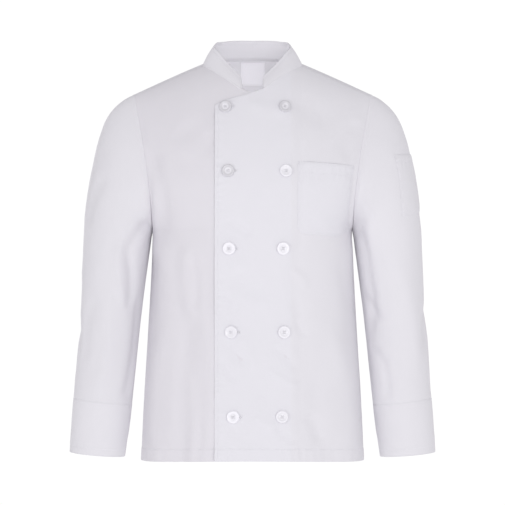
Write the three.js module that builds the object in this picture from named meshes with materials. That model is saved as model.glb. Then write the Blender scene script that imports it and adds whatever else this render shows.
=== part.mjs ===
// A double-breasted chef jacket with long sleeves, filled out as if worn, and hollow.
// Millimetres, +Z up. The front faces -Y and the wearer's left is +X.
// The origin is the middle of the neck hole, level with the collar seam at the side of the neck.
// Each cloth piece is a thin wall: a surface worked out from the garment's sizes, and the same
// surface moved inwards by the cloth's thickness.
import * as THREE from "three";

// Cloth thickness, with the turnings that double it at its edges.
const CLOTH = 1.5;
const COLLAR_WALL = 2.2;
const CUFF_WALL = 2.2;
const POCKET_WALL = 1.2;
const LABEL_WALL = 1.0;

// Clearances between pieces.
const SEAM_GAP = 0.3;
const COLLAR_GAP = 0.5;
const LAP_GAP = 0.9;

// x between which the upper front comes down from lying over the under front's lap.
const LAP_LIFT_FROM = 70;
const LAP_LIFT_TO = 90;

// Driving heights, from the side of the neck down.
const HEM = -730;
const ARMPIT = -309;
const SHOULDER_TOP = 0;

// Widths of the front, from the centre line.
const LAP = 67.5;
const COLLAR_END = 20;
const NECK_HALF = 92;

// The fronts' hem is lifted in the middle, and the back's hem drops a little.
const HEM_LIFT = { front: 7, back: -4 };
const HEM_LIFT_TOP = -560;

// Chest to shoulder: where each side starts to round over, and how full the rounding is.
const ARCH = {
  front: { start: -230, power: 1.8 },
  back: { start: -160, power: 2.4 },
};

// The shoulder seam lies this share of the way up the front's rounding, just short of the ridge.
const SEAM_SHARE = 0.985;

// Body sections: half width of the form, its depth before and behind, and how square it is.
const BODY = [
  { level: -730, half: 205.5, front: 137, back: 132, square: 2.3 },
  { level: -660, half: 201.8, front: 136, back: 129, square: 2.3 },
  { level: -570, half: 197.2, front: 132, back: 120, square: 2.28 },
  { level: -480, half: 192.2, front: 128, back: 113, square: 2.26 },
  { level: -390, half: 187.2, front: 129, back: 117, square: 2.24 },
  { level: -348, half: 185.4, front: 130, back: 121, square: 2.22 },
  { level: -309, half: 184.2, front: 130, back: 125, square: 2.2 },
  { level: -290, half: 192, front: 130, back: 127, square: 2.2 },
  { level: -260, half: 207, front: 129, back: 129, square: 2.2 },
  { level: -230, half: 218, front: 127, back: 131, square: 2.2 },
  { level: -190, half: 226, front: 123, back: 132, square: 2.2 },
  { level: -140, half: 232, front: 118, back: 131, square: 2.2 },
  { level: -70, half: 238, front: 111, back: 126, square: 2.2 },
  { level: 0, half: 244, front: 106, back: 120, square: 2.2 },
];

// The armhole seam as the front shows it: half width against height.
const ARMHOLE = [
  { height: -309, half: 184.2 },
  { height: -280, half: 184.9 },
  { height: -250, half: 187 },
  { height: -215, half: 190.8 },
  { height: -187, half: 194.8 },
  { height: -159, half: 199 },
  { height: -128, half: 204.5 },
  { height: -95, half: 211 },
  { height: -56, half: 218.5 },
];

// Top edge of the left front, from the lap's corner up to the shoulder seam.
const FRONT_TOP = [
  { x: -67.5, height: -81 },
  { x: -55, height: -74 },
  { x: -35, height: -68 },
  { x: -8, height: -60.5 },
  { x: 20, height: -50 },
  { x: 35, height: -39.5 },
  { x: 50, height: -29.5 },
  { x: 71, height: -15.5 },
  { x: 92, height: -3.45 },
];

// Back neckline.
const BACK_TOP = [
  { x: 0, height: 10 },
  { x: 25, height: 9.6 },
  { x: 50, height: 7.8 },
  { x: 70, height: 4.7 },
  { x: 85, height: 1.9 },
  { x: 92, height: 0 },
];

// The shoulder line in front view falls away from the neck like one arm of a hyperbola.
const SHOULDER = { peak: 24, fall: 0.483, round: 60 };

// Sleeve rings of the left sleeve. Each ring spans from an inner point, under the arm,
// to an outer point, and is as deep as said before and behind. "shift" carries it forward.
// "keep" is how much of the armhole's own shape the ring still has. The armhole is ring 0.
const SLEEVE = [
  { ring: 1, outerX: 238, outerZ: -69, innerX: 184.9, innerZ: -311.5, depth: 75, shift: 0, keep: 0.93 },
  { ring: 2, outerX: 255, outerZ: -82, innerX: 185.5, innerZ: -314.5, depth: 77, shift: 0, keep: 0.84 },
  { ring: 3, outerX: 270.5, outerZ: -103, innerX: 186.1, innerZ: -317.5, depth: 78, shift: 0, keep: 0.73 },
  { ring: 4, outerX: 281.5, outerZ: -130, innerX: 186.7, innerZ: -321, depth: 78, shift: 0, keep: 0.6 },
  { ring: 5, outerX: 290, outerZ: -160, innerX: 187.4, innerZ: -325.5, depth: 77.5, shift: 0, keep: 0.47 },
  { ring: 6, outerX: 296.5, outerZ: -192, innerX: 188.3, innerZ: -333, depth: 76.5, shift: -1, keep: 0.34 },
  { ring: 7, outerX: 302, outerZ: -225, innerX: 189.6, innerZ: -344, depth: 75, shift: -2, keep: 0.22 },
  { ring: 8, outerX: 306.5, outerZ: -259, innerX: 191.7, innerZ: -359, depth: 73.5, shift: -3, keep: 0.12 },
  { ring: 9, outerX: 310.5, outerZ: -300, innerX: 194.7, innerZ: -381, depth: 71.5, shift: -4, keep: 0.05 },
  { ring: 10, outerX: 313.4, outerZ: -352, innerX: 198.8, innerZ: -412, depth: 69, shift: -6, keep: 0 },
  { ring: 11, outerX: 316.6, outerZ: -410, innerX: 203.6, innerZ: -452, depth: 65.5, shift: -9, keep: 0 },
  { ring: 12, outerX: 319.8, outerZ: -468, innerX: 208.8, innerZ: -500, depth: 61.5, shift: -13, keep: 0 },
  { ring: 13, outerX: 323.4, outerZ: -528, innerX: 214, innerZ: -552, depth: 57, shift: -17, keep: 0 },
  { ring: 14, outerX: 326.6, outerZ: -578, innerX: 218.3, innerZ: -594, depth: 53, shift: -20.5, keep: 0 },
  { ring: 15, outerX: 329.2, outerZ: -616, innerX: 221.7, innerZ: -627, depth: 50, shift: -23, keep: 0 },
];
const CUFF = [
  { ring: 0, outerX: 329.25, outerZ: -616.3, innerX: 221.75, innerZ: -627.3, depth: 50, shift: -23 },
  { ring: 1, outerX: 331.6, outerZ: -651, innerX: 226, innerZ: -661, depth: 47.6, shift: -25 },
  { ring: 2, outerX: 333.8, outerZ: -684, innerX: 230.4, innerZ: -693, depth: 45.6, shift: -27 },
  { ring: 3, outerX: 335.6, outerZ: -714, innerX: 234.6, innerZ: -722.5, depth: 44, shift: -28.5 },
];

// Collar: how far the stand leans in and rises, from its front end to the middle of the back.
const COLLAR = [
  { along: 0, lean: 15, rise: 18 },
  { along: 0.2, lean: 17, rise: 22 },
  { along: 0.4, lean: 19, rise: 31 },
  { along: 0.55, lean: 20, rise: 38 },
  { along: 0.75, lean: 12, rise: 37 },
  { along: 1, lean: 6, rise: 36 },
];
const COLLAR_CORNER = 0.05;

// Folds that are pressed into the cloth, on the form: where they start and end, how wide and deep.
// A positive depth is a trough. "side" is the wearer's: 1 left, -1 right.
const BODY_FOLDS = [
  { face: "front", side: -1, topX: 186, topLevel: -170, lowX: 168, lowLevel: -330, width: 13, depth: 5 },
  { face: "front", side: 1, topX: 187, topLevel: -190, lowX: 172, lowLevel: -320, width: 10, depth: 3 },
  { face: "front", side: -1, topX: 120, topLevel: -420, lowX: 132, lowLevel: -740, width: 20, depth: 3.5 },
  { face: "front", side: -1, topX: 90, topLevel: -380, lowX: 84, lowLevel: -740, width: 14, depth: 3 },
  { face: "front", side: 1, topX: 110, topLevel: -470, lowX: 126, lowLevel: -740, width: 22, depth: 3 },
  { face: "back", side: 1, topX: 168, topLevel: -150, lowX: 150, lowLevel: -380, width: 18, depth: 7 },
  { face: "back", side: -1, topX: 170, topLevel: -150, lowX: 152, lowLevel: -400, width: 19, depth: 6 },
  { face: "back", side: 1, topX: 60, topLevel: -420, lowX: 84, lowLevel: -745, width: 24, depth: 6 },
  { face: "back", side: -1, topX: 66, topLevel: -440, lowX: 76, lowLevel: -745, width: 22, depth: 5 },
];

// Folds of the sleeves: the ring and the angle round from the underarm line, forwards, in degrees.
const SLEEVE_FOLDS = [
  { topRing: 4, topAngle: 38, lowRing: 12, lowAngle: 30, width: 13, depth: 5 },
  { topRing: 9.5, topAngle: 200, lowRing: 12.5, lowAngle: 150, width: 14, depth: 3.5 },
  { topRing: 8, topAngle: 318, lowRing: 12, lowAngle: 262, width: 14, depth: 5 },
];

// Chest pocket corners on the left front, and the chamfer at its lower corners.
const CHEST_POCKET = {
  topIn: [82, -184], topOut: [185, -191], lowIn: [80.5, -314], lowOut: [168, -320.5], chamfer: 10,
};

// Sleeve pocket corners: degrees forward of the sleeve's outer line, and height.
const SLEEVE_POCKET = {
  topFront: [50, -170], topBack: [-24, -166], lowFront: [64, -284], lowBack: [-10, -272],
};

// Label inside the back neck.
const LABEL = { left: -21.5, right: 22.5, top: 7.5, low: -38 };

// Buttons: position of each pair on the left front, and the button's own sizes.
const BUTTONS = [
  { row: 1, lapX: -49, sideX: 58.8, height: -84 },
  { row: 2, lapX: -44, sideX: 60.2, height: -201.5 },
  { row: 3, lapX: -42.2, sideX: 54.8, height: -341.5 },
  { row: 4, lapX: -38.6, sideX: 56.6, height: -492 },
  { row: 5, lapX: -35, sideX: 52.9, height: -644 },
];
const BUTTON = { radius: 11.5, back: 0.6, thick: 3.9, rim: 3.4, well: 2.5, shank: 3, foot: 0.8, off: 0.5 };
const BUTTON_SIDES = 14;

// Half the front-to-back width of the sleeve where it meets the armhole.
const ARMHOLE_DEPTH = 73;

// The back's middle rows reach this share of the way to the neckline at the shoulder's ridge.
const NECK_SHARE = 0.982;

// Folds: the share of a fold's length at each end over which it fades is 1 / FOLD_ENDS. Near a seam
// it fades over this many columns or rows. Round a sleeve, it is measured at the radius SLEEVE_GIRTH.
const FOLD_ENDS = 3;
const SIDE_FADE = 2;
const TOP_FADE = 3;
const RIDGE_FADE = 2;
const SLEEVE_GIRTH = 62;

// Passes in which a panel's edge settles on the armhole seam.
const EDGE_PASSES = 12;

// Numbers of columns and rows.
const LAP_COLUMNS = 6;
const SIDE_COLUMNS = 8;
const LOWER_ROWS = 10;
const UPPER_ROWS = 13;
const OVER_ROWS = 2;

// Columns of the front and of half the back between the middle and the side of the neck.
const FRONT_NECK = [COLLAR_END, 38, 55, 70, 80, NECK_HALF];
const BACK_NECK = [0, 25, 47, 66, 79, 87, NECK_HALF];

const CLOTH_COLOUR = 0xe6e5ea;
const BUTTON_COLOUR = 0xf4f4f7;
const LABEL_COLOUR = 0xf1f1f4;

const clamp = (value, low, high) => Math.min(high, Math.max(low, value));
const mix = (a, b, t) => a + (b - a) * t;
const smooth = (t) => clamp(t, 0, 1) ** 2 * (3 - 2 * clamp(t, 0, 1));
const radians = (degrees) => (degrees * Math.PI) / 180;

// A smooth curve through one named column of a table, read against another column.
function curve(rows, key, column) {
  const x = rows.map((row) => row[key]);
  const y = rows.map((row) => row[column]);
  const last = x.length - 1;
  const slope = x.map((_, i) => {
    const before = Math.max(0, i - 1);
    const after = Math.min(last, i + 1);
    return (y[after] - y[before]) / (x[after] - x[before]);
  });
  return (at) => {
    const p = clamp(at, x[0], x[last]);
    let i = 0;
    while (i < last - 1 && p > x[i + 1]) i += 1;
    const step = x[i + 1] - x[i];
    const t = (p - x[i]) / step;
    const rise = t * t * (3 - 2 * t);
    const from = t * (1 - t) * (1 - t) * step * slope[i];
    const to = t * t * (t - 1) * step * slope[i + 1];
    return mix(y[i], y[i + 1], rise) + from + to;
  };
}

const bodyHalf = curve(BODY, "level", "half");
const bodyDepth = { front: curve(BODY, "level", "front"), back: curve(BODY, "level", "back") };
const bodySquare = curve(BODY, "level", "square");
const armholeHalf = curve(ARMHOLE, "height", "half");
const frontTop = curve(FRONT_TOP, "x", "height");
const backTop = curve(BACK_TOP, "x", "height");

const shoulderHeight = (x) =>
  SHOULDER.peak - SHOULDER.fall * (Math.hypot(x, SHOULDER.round) - SHOULDER.round);

// How far up the rounding of the chest or the back a level is, from 0 to 1 at the ridge.
const archShare = (level, face) =>
  clamp((level - ARCH[face].start) / (SHOULDER_TOP - ARCH[face].start), 0, 1);

// Real height of a level at x: level below the chest, and following the shoulder above it.
function heightOf(x, level, face) {
  const start = ARCH[face].start;
  if (level > start) return start + (shoulderHeight(x) - start) * archShare(level, face);
  const half = bodyHalf(level);
  const lift = HEM_LIFT[face] * (1 - clamp(Math.abs(x) / half, 0, 1) ** 2);
  return level + lift * smooth((HEM_LIFT_TOP - level) / (HEM_LIFT_TOP - HEM));
}

// The level whose height at x is the one given, for points above the hem's lift.
function levelAt(x, height, face) {
  const start = ARCH[face].start;
  if (height <= start) return height;
  return start + ((height - start) / (shoulderHeight(x) - start)) * (SHOULDER_TOP - start);
}

// Depth of the fold pattern at a point of the form.
function foldDepth(x, level, face) {
  let depth = 0;
  for (const fold of BODY_FOLDS) {
    if (fold.face !== face) continue;
    const t = (fold.topLevel - level) / (fold.topLevel - fold.lowLevel);
    if (t < 0 || t > 1) continue;
    const middle = fold.side * mix(fold.topX, fold.lowX, t);
    const reachesHem = fold.lowLevel < HEM;
    const fade = smooth(t * FOLD_ENDS) * (reachesHem ? 1 : smooth((1 - t) * FOLD_ENDS));
    depth += fold.depth * fade * Math.exp(-(((x - middle) / fold.width) ** 2));
  }
  return depth;
}

// Half width at which a panel ends: the side seam, or the armhole seam above the armpit.
function edgeHalf(level, face) {
  if (level <= ARMPIT) return bodyHalf(level);
  let x = bodyHalf(ARMPIT);
  for (let pass = 0; pass < EDGE_PASSES; pass += 1) x = armholeHalf(heightOf(x, level, face));
  return Math.min(x, bodyHalf(level));
}

// A point of the body form at x and level, before folds.
function formPoint(x, level, face) {
  const square = bodySquare(level);
  const across = (1 - clamp(Math.abs(x) / bodyHalf(level), 0, 1) ** square) ** (1 / square);
  const power = ARCH[face].power;
  const arch = (1 - archShare(level, face) ** power) ** (1 / power);
  const forward = face === "front" ? -1 : 1;
  return new THREE.Vector3(x, forward * bodyDepth[face](level) * across * arch, heightOf(x, level, face));
}

// x of a column that lies a share of the way round from the neck's column to the panel's edge.
function roundX(share, level, face) {
  const half = bodyHalf(level);
  const power = bodySquare(level) / 2;
  const angle = (x) => Math.asin(clamp(x / half, 0, 1) ** power);
  const at = mix(angle(NECK_HALF), angle(edgeHalf(level, face)), share);
  return half * Math.sin(at) ** (1 / power);
}

// A list of numbers read at a place between its entries.
function between(list, at) {
  const i = clamp(Math.floor(at), 0, list.length - 2);
  return mix(list[i], list[i + 1], at - i);
}

// Eased spacing that puts more rows where the shape turns fast.
const ringEase = (t) => (1 - Math.cos(Math.PI * clamp(t, 0, 1))) / 2;

// Left front. u counts its columns from the lap's edge, v its rows from the hem.
const NECK_COLUMN = LAP_COLUMNS + FRONT_NECK.length - 1;
const FRONT_COLUMNS = NECK_COLUMN + SIDE_COLUMNS;
const FRONT_ROWS = LOWER_ROWS + UPPER_ROWS;

function frontX(u, level) {
  if (u <= LAP_COLUMNS) return mix(-LAP, COLLAR_END, u / LAP_COLUMNS);
  if (u <= NECK_COLUMN) return between(FRONT_NECK, u - LAP_COLUMNS);
  return roundX((u - NECK_COLUMN) / SIDE_COLUMNS, level, "front");
}

function frontLevel(u, v) {
  if (v <= LOWER_ROWS) return mix(HEM, ARMPIT, v / LOWER_ROWS);
  const seam = mix(ARCH.front.start, SHOULDER_TOP, SEAM_SHARE);
  const x = frontX(u, ARMPIT);
  const top = u >= NECK_COLUMN ? seam : levelAt(x, frontTop(x), "front");
  return mix(ARMPIT, top, ringEase((v - LOWER_ROWS) / UPPER_ROWS));
}

function frontPoint(u, v) {
  const level = frontLevel(u, v);
  const point = formPoint(frontX(u, level), level, "front");
  point.y -= SEAM_GAP / 2;
  return point;
}

// Whole back. u counts columns from the middle out to the left, negative to the right.
const SHOULDER_COLUMN = BACK_NECK.length - 1;
const BACK_COLUMNS = SHOULDER_COLUMN + SIDE_COLUMNS;
const BACK_ROWS = LOWER_ROWS + UPPER_ROWS + OVER_ROWS;
const RIDGE_ROW = LOWER_ROWS + UPPER_ROWS;

function backX(u, level) {
  const column = Math.abs(u);
  const side = Math.sign(u);
  if (column <= SHOULDER_COLUMN) return side * between(BACK_NECK, column);
  return side * roundX((column - SHOULDER_COLUMN) / SIDE_COLUMNS, level, "back");
}

// How far up from the armpit to the neckline a row is, in the columns under the neck.
function neckShare(v) {
  if (v > RIDGE_ROW) return mix(NECK_SHARE, 1, (v - RIDGE_ROW) / OVER_ROWS);
  return NECK_SHARE * ringEase((v - LOWER_ROWS) / UPPER_ROWS);
}

// Rows of the back. Past the ridge, the shoulder's columns come down on the front's form.
function backPoint(u, v) {
  let point;
  if (v <= LOWER_ROWS) {
    const level = mix(HEM, ARMPIT, v / LOWER_ROWS);
    point = formPoint(backX(u, level), level, "back");
  } else if (Math.abs(u) < SHOULDER_COLUMN) {
    const x = backX(u, ARMPIT);
    const top = levelAt(x, backTop(Math.abs(x)), "back");
    const level = mix(ARMPIT, top, neckShare(v));
    point = formPoint(x, level, "back");
  } else if (v <= RIDGE_ROW) {
    const level = mix(ARMPIT, SHOULDER_TOP, ringEase((v - LOWER_ROWS) / UPPER_ROWS));
    point = formPoint(backX(u, level), level, "back");
  } else {
    const share = mix(1, SEAM_SHARE, ((v - RIDGE_ROW) / OVER_ROWS) ** 2);
    const level = mix(ARCH.front.start, SHOULDER_TOP, share);
    const round = (Math.abs(u) - SHOULDER_COLUMN) / SIDE_COLUMNS;
    point = formPoint(Math.sign(u) * roundX(round, level, "front"), level, "front");
  }
  point.y += SEAM_GAP / 2;
  return point;
}

// Outward normal of a surface(u, v), from small steps. "turn" is 1 or -1.
function normalOf(surface, u, v, uLimits, vLimits, turn) {
  const step = 0.01;
  const span = (at, limits) => [Math.max(limits[0], at - step), Math.min(limits[1], at + step)];
  const [u0, u1] = span(u, uLimits);
  const [v0, v1] = span(v, vLimits);
  const along = surface(u1, v).sub(surface(u0, v));
  const up = surface(u, v1).sub(surface(u, v0));
  return along.normalize().cross(up.normalize()).normalize().multiplyScalar(turn);
}

// Points and outward normals of a surface on a grid of columns and rows.
function gridOf(surface, columns, rows, turn, uLimits, vLimits) {
  return rows.map((v) =>
    columns.map((u) => ({ u, v, at: surface(u, v), out: normalOf(surface, u, v, uLimits, vLimits, turn) })),
  );
}

// Outward normal of the back. Its shoulder columns are read from their outer side.
function backNormal(u, v) {
  let uLimits = [-BACK_COLUMNS, BACK_COLUMNS];
  if (u === SHOULDER_COLUMN) uLimits = [u, BACK_COLUMNS];
  if (u === -SHOULDER_COLUMN) uLimits = [-BACK_COLUMNS, u];
  return normalOf(backPoint, u, v, uLimits, [0, BACK_ROWS], -1);
}

const range = (low, high) => Array.from({ length: high - low + 1 }, (_, i) => low + i);
const moved = (node, distance) => node.at.clone().addScaledVector(node.out, distance);
const layer = (grid, distance) => grid.map((row) => row.map((node) => moved(node, distance(node))));

// A closed wall between two matching layers of points. "round" joins the last column to the first.
function wallBetween(outer, inner, round) {
  const rows = outer.length;
  const columns = outer[0].length;
  const count = rows * columns;
  const positions = [...outer.flat(), ...inner.flat()].flatMap((p) => [p.x, p.y, p.z]);
  const index = [];
  const quad = (a, b, c, d) => index.push(a, b, c, a, c, d);
  const next = (j) => (j + 1) % columns;
  const spans = round ? columns : columns - 1;
  for (let i = 0; i < rows - 1; i += 1) {
    for (let j = 0; j < spans; j += 1) {
      const a = i * columns + j;
      const b = i * columns + next(j);
      const c = b + columns;
      const d = a + columns;
      quad(a, b, c, d);
      quad(count + a, count + d, count + c, count + b);
    }
  }
  for (let j = 0; j < spans; j += 1) {
    const top = (rows - 1) * columns;
    quad(next(j), j, count + j, count + next(j));
    quad(top + j, top + next(j), count + top + next(j), count + top + j);
  }
  if (!round) {
    for (let i = 0; i < rows - 1; i += 1) {
      const a = i * columns;
      const b = a + columns - 1;
      quad(a, a + columns, count + a + columns, count + a);
      quad(b + columns, b, count + b, count + b + columns);
    }
  }
  const geometry = new THREE.BufferGeometry();
  geometry.setAttribute("position", new THREE.Float32BufferAttribute(positions, 3));
  geometry.setIndex(index);
  return outwards(geometry);
}

// Turns a closed geometry's faces so that its volume is positive.
function outwards(geometry) {
  const place = geometry.getAttribute("position");
  const index = geometry.getIndex();
  const a = new THREE.Vector3();
  const b = new THREE.Vector3();
  const c = new THREE.Vector3();
  let volume = 0;
  for (let i = 0; i < index.count; i += 3) {
    a.fromBufferAttribute(place, index.getX(i));
    b.fromBufferAttribute(place, index.getX(i + 1));
    c.fromBufferAttribute(place, index.getX(i + 2));
    volume += a.dot(b.cross(c));
  }
  if (volume < 0) {
    for (let i = 0; i < index.count; i += 3) {
      const second = index.getX(i + 1);
      index.setX(i + 1, index.getX(i + 2));
      index.setX(i + 2, second);
    }
  }
  geometry.computeVertexNormals();
  return geometry;
}

const jacket = new THREE.Group();

function addPiece(name, geometry, colour, roughness) {
  const material = new THREE.MeshStandardMaterial({ color: colour, roughness, metalness: 0 });
  const mesh = new THREE.Mesh(geometry, material);
  mesh.name = name;
  jacket.add(mesh);
  return mesh;
}

const addCloth = (name, geometry) => addPiece(name, geometry, CLOTH_COLOUR, 0.85);

const mirrored = (surface) => (u, v) => {
  const point = surface(u, v);
  point.x = -point.x;
  return point;
};

// How far the upper front stands off, to lie over the under front's lap and its edge.
const LAP_LIFT = CLOTH + LAP_GAP;
const lapLift = (x) => LAP_LIFT * (1 - smooth((x - LAP_LIFT_FROM) / (LAP_LIFT_TO - LAP_LIFT_FROM)));

const FRONT_U = [0, FRONT_COLUMNS];
const FRONT_V = [0, FRONT_ROWS];

// Distance of a front's outer face from the form: its lift over the lap, less its folds.
function frontRaise(point, side) {
  const level = levelAt(point.x, point.z, "front");
  const lift = side > 0 ? lapLift(point.x) : 0;
  return lift - foldDepth(point.x, level, "front");
}

function backRaise(node) {
  const side = smooth((BACK_COLUMNS - Math.abs(node.u)) / SIDE_FADE);
  const edge = side * smooth((RIDGE_ROW - node.v) / RIDGE_FADE);
  return -edge * foldDepth(node.at.x, levelAt(node.at.x, node.at.z, "back"), "back");
}

// Folds die out at the seams, so that neighbouring pieces still meet.
const frontFade = (node) =>
  smooth((FRONT_COLUMNS - node.u) / SIDE_FADE) * smooth((FRONT_ROWS - node.v) / TOP_FADE);

function frontOffset(node, side) {
  const flat = side > 0 ? lapLift(node.at.x) : 0;
  return flat + frontFade(node) * (frontRaise(node.at, side) - flat);
}

function buildFront(side) {
  const surface = side > 0 ? frontPoint : mirrored(frontPoint);
  const grid = gridOf(surface, range(...FRONT_U), range(...FRONT_V), side, FRONT_U, FRONT_V);
  const outer = layer(grid, (node) => frontOffset(node, side));
  const inner = layer(grid, (node) => frontOffset(node, side) - CLOTH);
  return { grid, outer, inner };
}

const fronts = { left: buildFront(1), right: buildFront(-1) };
addCloth("front_left", wallBetween(fronts.left.outer, fronts.left.inner, false));
addCloth("front_right", wallBetween(fronts.right.outer, fronts.right.inner, false));

const backGrid = range(0, BACK_ROWS).map((v) =>
  range(-BACK_COLUMNS, BACK_COLUMNS).map((u) => ({ u, v, at: backPoint(u, v), out: backNormal(u, v) })),
);
const back = {
  grid: backGrid,
  outer: layer(backGrid, backRaise),
  inner: layer(backGrid, (node) => backRaise(node) - CLOTH),
};
addCloth("back", wallBetween(back.outer, back.inner, false));

// The armhole of the left side as a closed ring, from the underarm up the front and down the back.
const RING_COLUMNS = 2 * UPPER_ROWS + OVER_ROWS;

function armholePoint(u) {
  if (u <= UPPER_ROWS) return frontPoint(FRONT_COLUMNS, LOWER_ROWS + u);
  return backPoint(BACK_COLUMNS, LOWER_ROWS + RING_COLUMNS - u);
}

function armholeNormal(u) {
  if (u <= UPPER_ROWS) {
    return normalOf(frontPoint, FRONT_COLUMNS, LOWER_ROWS + u, FRONT_U, FRONT_V, 1);
  }
  return backNormal(BACK_COLUMNS, LOWER_ROWS + RING_COLUMNS - u);
}

const ringAxes = (row) => {
  const outer = new THREE.Vector3(row.outerX, 0, row.outerZ);
  const inner = new THREE.Vector3(row.innerX, 0, row.innerZ);
  const centre = outer.clone().add(inner).multiplyScalar(0.5);
  const radius = outer.distanceTo(inner) / 2;
  const across = outer.sub(inner).normalize();
  const along = new THREE.Vector3(across.z, 0, -across.x);
  return { centre, radius, across, along };
};

const RIDGE_RING = UPPER_ROWS + OVER_ROWS;
const shoulderPoint = armholePoint(RIDGE_RING);
const underarmPoint = armholePoint(0);
const armholeRow = {
  ring: 0,
  outerX: shoulderPoint.x + SEAM_GAP,
  outerZ: shoulderPoint.z,
  innerX: underarmPoint.x + SEAM_GAP,
  innerZ: underarmPoint.z,
  depth: ARMHOLE_DEPTH,
  shift: 0,
  keep: 1,
};
const armholeAxes = ringAxes(armholeRow);

// A point of the armhole in its ring's own measure: across, before and out of the ring's plane.
function armholeShape(u) {
  const column = ((u % RING_COLUMNS) + RING_COLUMNS) % RING_COLUMNS;
  const point = armholePoint(column);
  point.x += SEAM_GAP;
  const from = point.clone().sub(armholeAxes.centre);
  const across = from.dot(armholeAxes.across) / armholeAxes.radius;
  const before = -point.y / ARMHOLE_DEPTH;
  return { across, before, off: from.dot(armholeAxes.along), angle: Math.atan2(before, -across) };
}

const ringTable = (rows) => {
  const read = {};
  for (const name of ["outerX", "outerZ", "innerX", "innerZ", "depth", "shift", "keep"]) {
    read[name] = curve(rows.map((row) => ({ keep: 0, ...row })), "ring", name);
  }
  return (v) => Object.fromEntries(Object.entries(read).map(([name, at]) => [name, at(v)]));
};
const sleeveRow = ringTable([armholeRow, ...SLEEVE]);
const cuffRow = ringTable(CUFF);

function ringPoint(row, u) {
  const shape = armholeShape(u);
  const { centre, radius, across, along } = ringAxes(row);
  const a = mix(-Math.cos(shape.angle), shape.across, row.keep);
  const b = mix(Math.sin(shape.angle), shape.before, row.keep);
  const point = centre.addScaledVector(across, radius * a).addScaledVector(along, row.keep * shape.off);
  point.y += row.shift - row.depth * b;
  return point;
}

const sleevePoint = (u, v) => ringPoint(sleeveRow(v), u);
const cuffPoint = (u, v) => ringPoint(cuffRow(v), u);

// Where a ring's column is, in degrees round from the underarm line, forwards.
const ringDegrees = (u) => ((armholeShape(u).angle * 180) / Math.PI + 360) % 360;

// Depth of the sleeve's folds, measured round the ring.
function sleeveFold(u, v) {
  const degrees = ringDegrees(u);
  let depth = 0;
  for (const fold of SLEEVE_FOLDS) {
    const t = (v - fold.topRing) / (fold.lowRing - fold.topRing);
    if (t < 0 || t > 1) continue;
    const middle = mix(fold.topAngle, fold.lowAngle, t);
    const apart = radians(((degrees - middle + 540) % 360) - 180) * SLEEVE_GIRTH;
    const fade = smooth(t * FOLD_ENDS) * smooth((1 - t) * FOLD_ENDS);
    depth += fold.depth * fade * Math.exp(-((apart / fold.width) ** 2));
  }
  return depth;
}

const RING_U = [-RING_COLUMNS, 2 * RING_COLUMNS];
const SLEEVE_RINGS = SLEEVE.length;
const CUFF_RINGS = CUFF.length - 1;

// The sleeve's first ring has the body's own thickness at the shoulder, and turns to its own below.
function sleeveGrid(surface, columns) {
  const grid = gridOf(surface, columns, range(0, SLEEVE_RINGS), -1, RING_U, [0, SLEEVE_RINGS]);
  for (const node of grid[0]) {
    const shape = armholeShape(node.u);
    const radial = new THREE.Vector3(0, -shape.before, shape.across).normalize();
    const low = smooth(0.5 - shape.across);
    node.out = armholeNormal(node.u).lerp(radial, low).normalize();
  }
  return grid;
}

const flip = (grid) =>
  grid.map((row) =>
    row.map((node) => ({
      ...node,
      at: node.at.clone().setX(-node.at.x),
      out: node.out.clone().setX(-node.out.x),
    })),
  );

const ringColumns = range(0, RING_COLUMNS - 1);
const sleeves = {};
const leftSleeve = sleeveGrid(sleevePoint, ringColumns);
const leftCuff = gridOf(cuffPoint, ringColumns, range(0, CUFF_RINGS), -1, RING_U, [0, CUFF_RINGS]);
for (const [name, sleeve, cuff] of [
  ["left", leftSleeve, leftCuff],
  ["right", flip(leftSleeve), flip(leftCuff)],
]) {
  const fold = (node) => -sleeveFold(node.u, node.v);
  const outer = layer(sleeve, fold);
  const inner = layer(sleeve, (node) => fold(node) - CLOTH);
  sleeves[name] = { outer, inner };
  addCloth(`sleeve_${name}`, wallBetween(outer, inner, true));
  const cuffInner = layer(cuff, () => -CUFF_WALL);
  addCloth(`cuff_${name}`, wallBetween(layer(cuff, () => 0), cuffInner, true));
}

// Neckline from the left collar end, round the back, to the right collar end: at each knot, the
// panel's outer point and its outward normal.
const FRONT_KNOTS = FRONT_NECK.length - 1;
const NECK_LENGTH = 2 * (FRONT_KNOTS + SHOULDER_COLUMN);

function necklineKnot(s) {
  const half = NECK_LENGTH / 2;
  const side = s <= half ? 1 : -1;
  const from = half - Math.abs(s - half);
  let point;
  let out;
  if (from <= FRONT_KNOTS) {
    const u = LAP_COLUMNS + from;
    point = frontPoint(u, FRONT_ROWS);
    out = normalOf(frontPoint, u, FRONT_ROWS, FRONT_U, FRONT_V, 1);
    if (side > 0) point.addScaledVector(out, lapLift(point.x));
  } else {
    const u = half - from;
    point = backPoint(u, BACK_ROWS);
    out = backNormal(u, BACK_ROWS);
  }
  if (side < 0) for (const vector of [point, out]) vector.x = -vector.x;
  return { point, out };
}

const neckline = range(0, NECK_LENGTH).map(necklineKnot);

// A place along the neckline, with the way across it in the panel's own surface, into the neck.
function necklineAt(s) {
  const i = Math.min(Math.floor(s), NECK_LENGTH - 1);
  const across = (k) => {
    const before = neckline[Math.max(k - 1, 0)].point;
    const after = neckline[Math.min(k + 1, NECK_LENGTH)].point;
    return neckline[k].out.clone().cross(after.clone().sub(before)).normalize();
  };
  return {
    point: neckline[i].point.clone().lerp(neckline[i + 1].point, s - i),
    out: neckline[i].out.clone().lerp(neckline[i + 1].out, s - i),
    onward: across(i).lerp(across(i + 1), s - i),
  };
}

const collarLean = curve(COLLAR, "along", "lean");
const collarRise = curve(COLLAR, "along", "rise");

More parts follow.
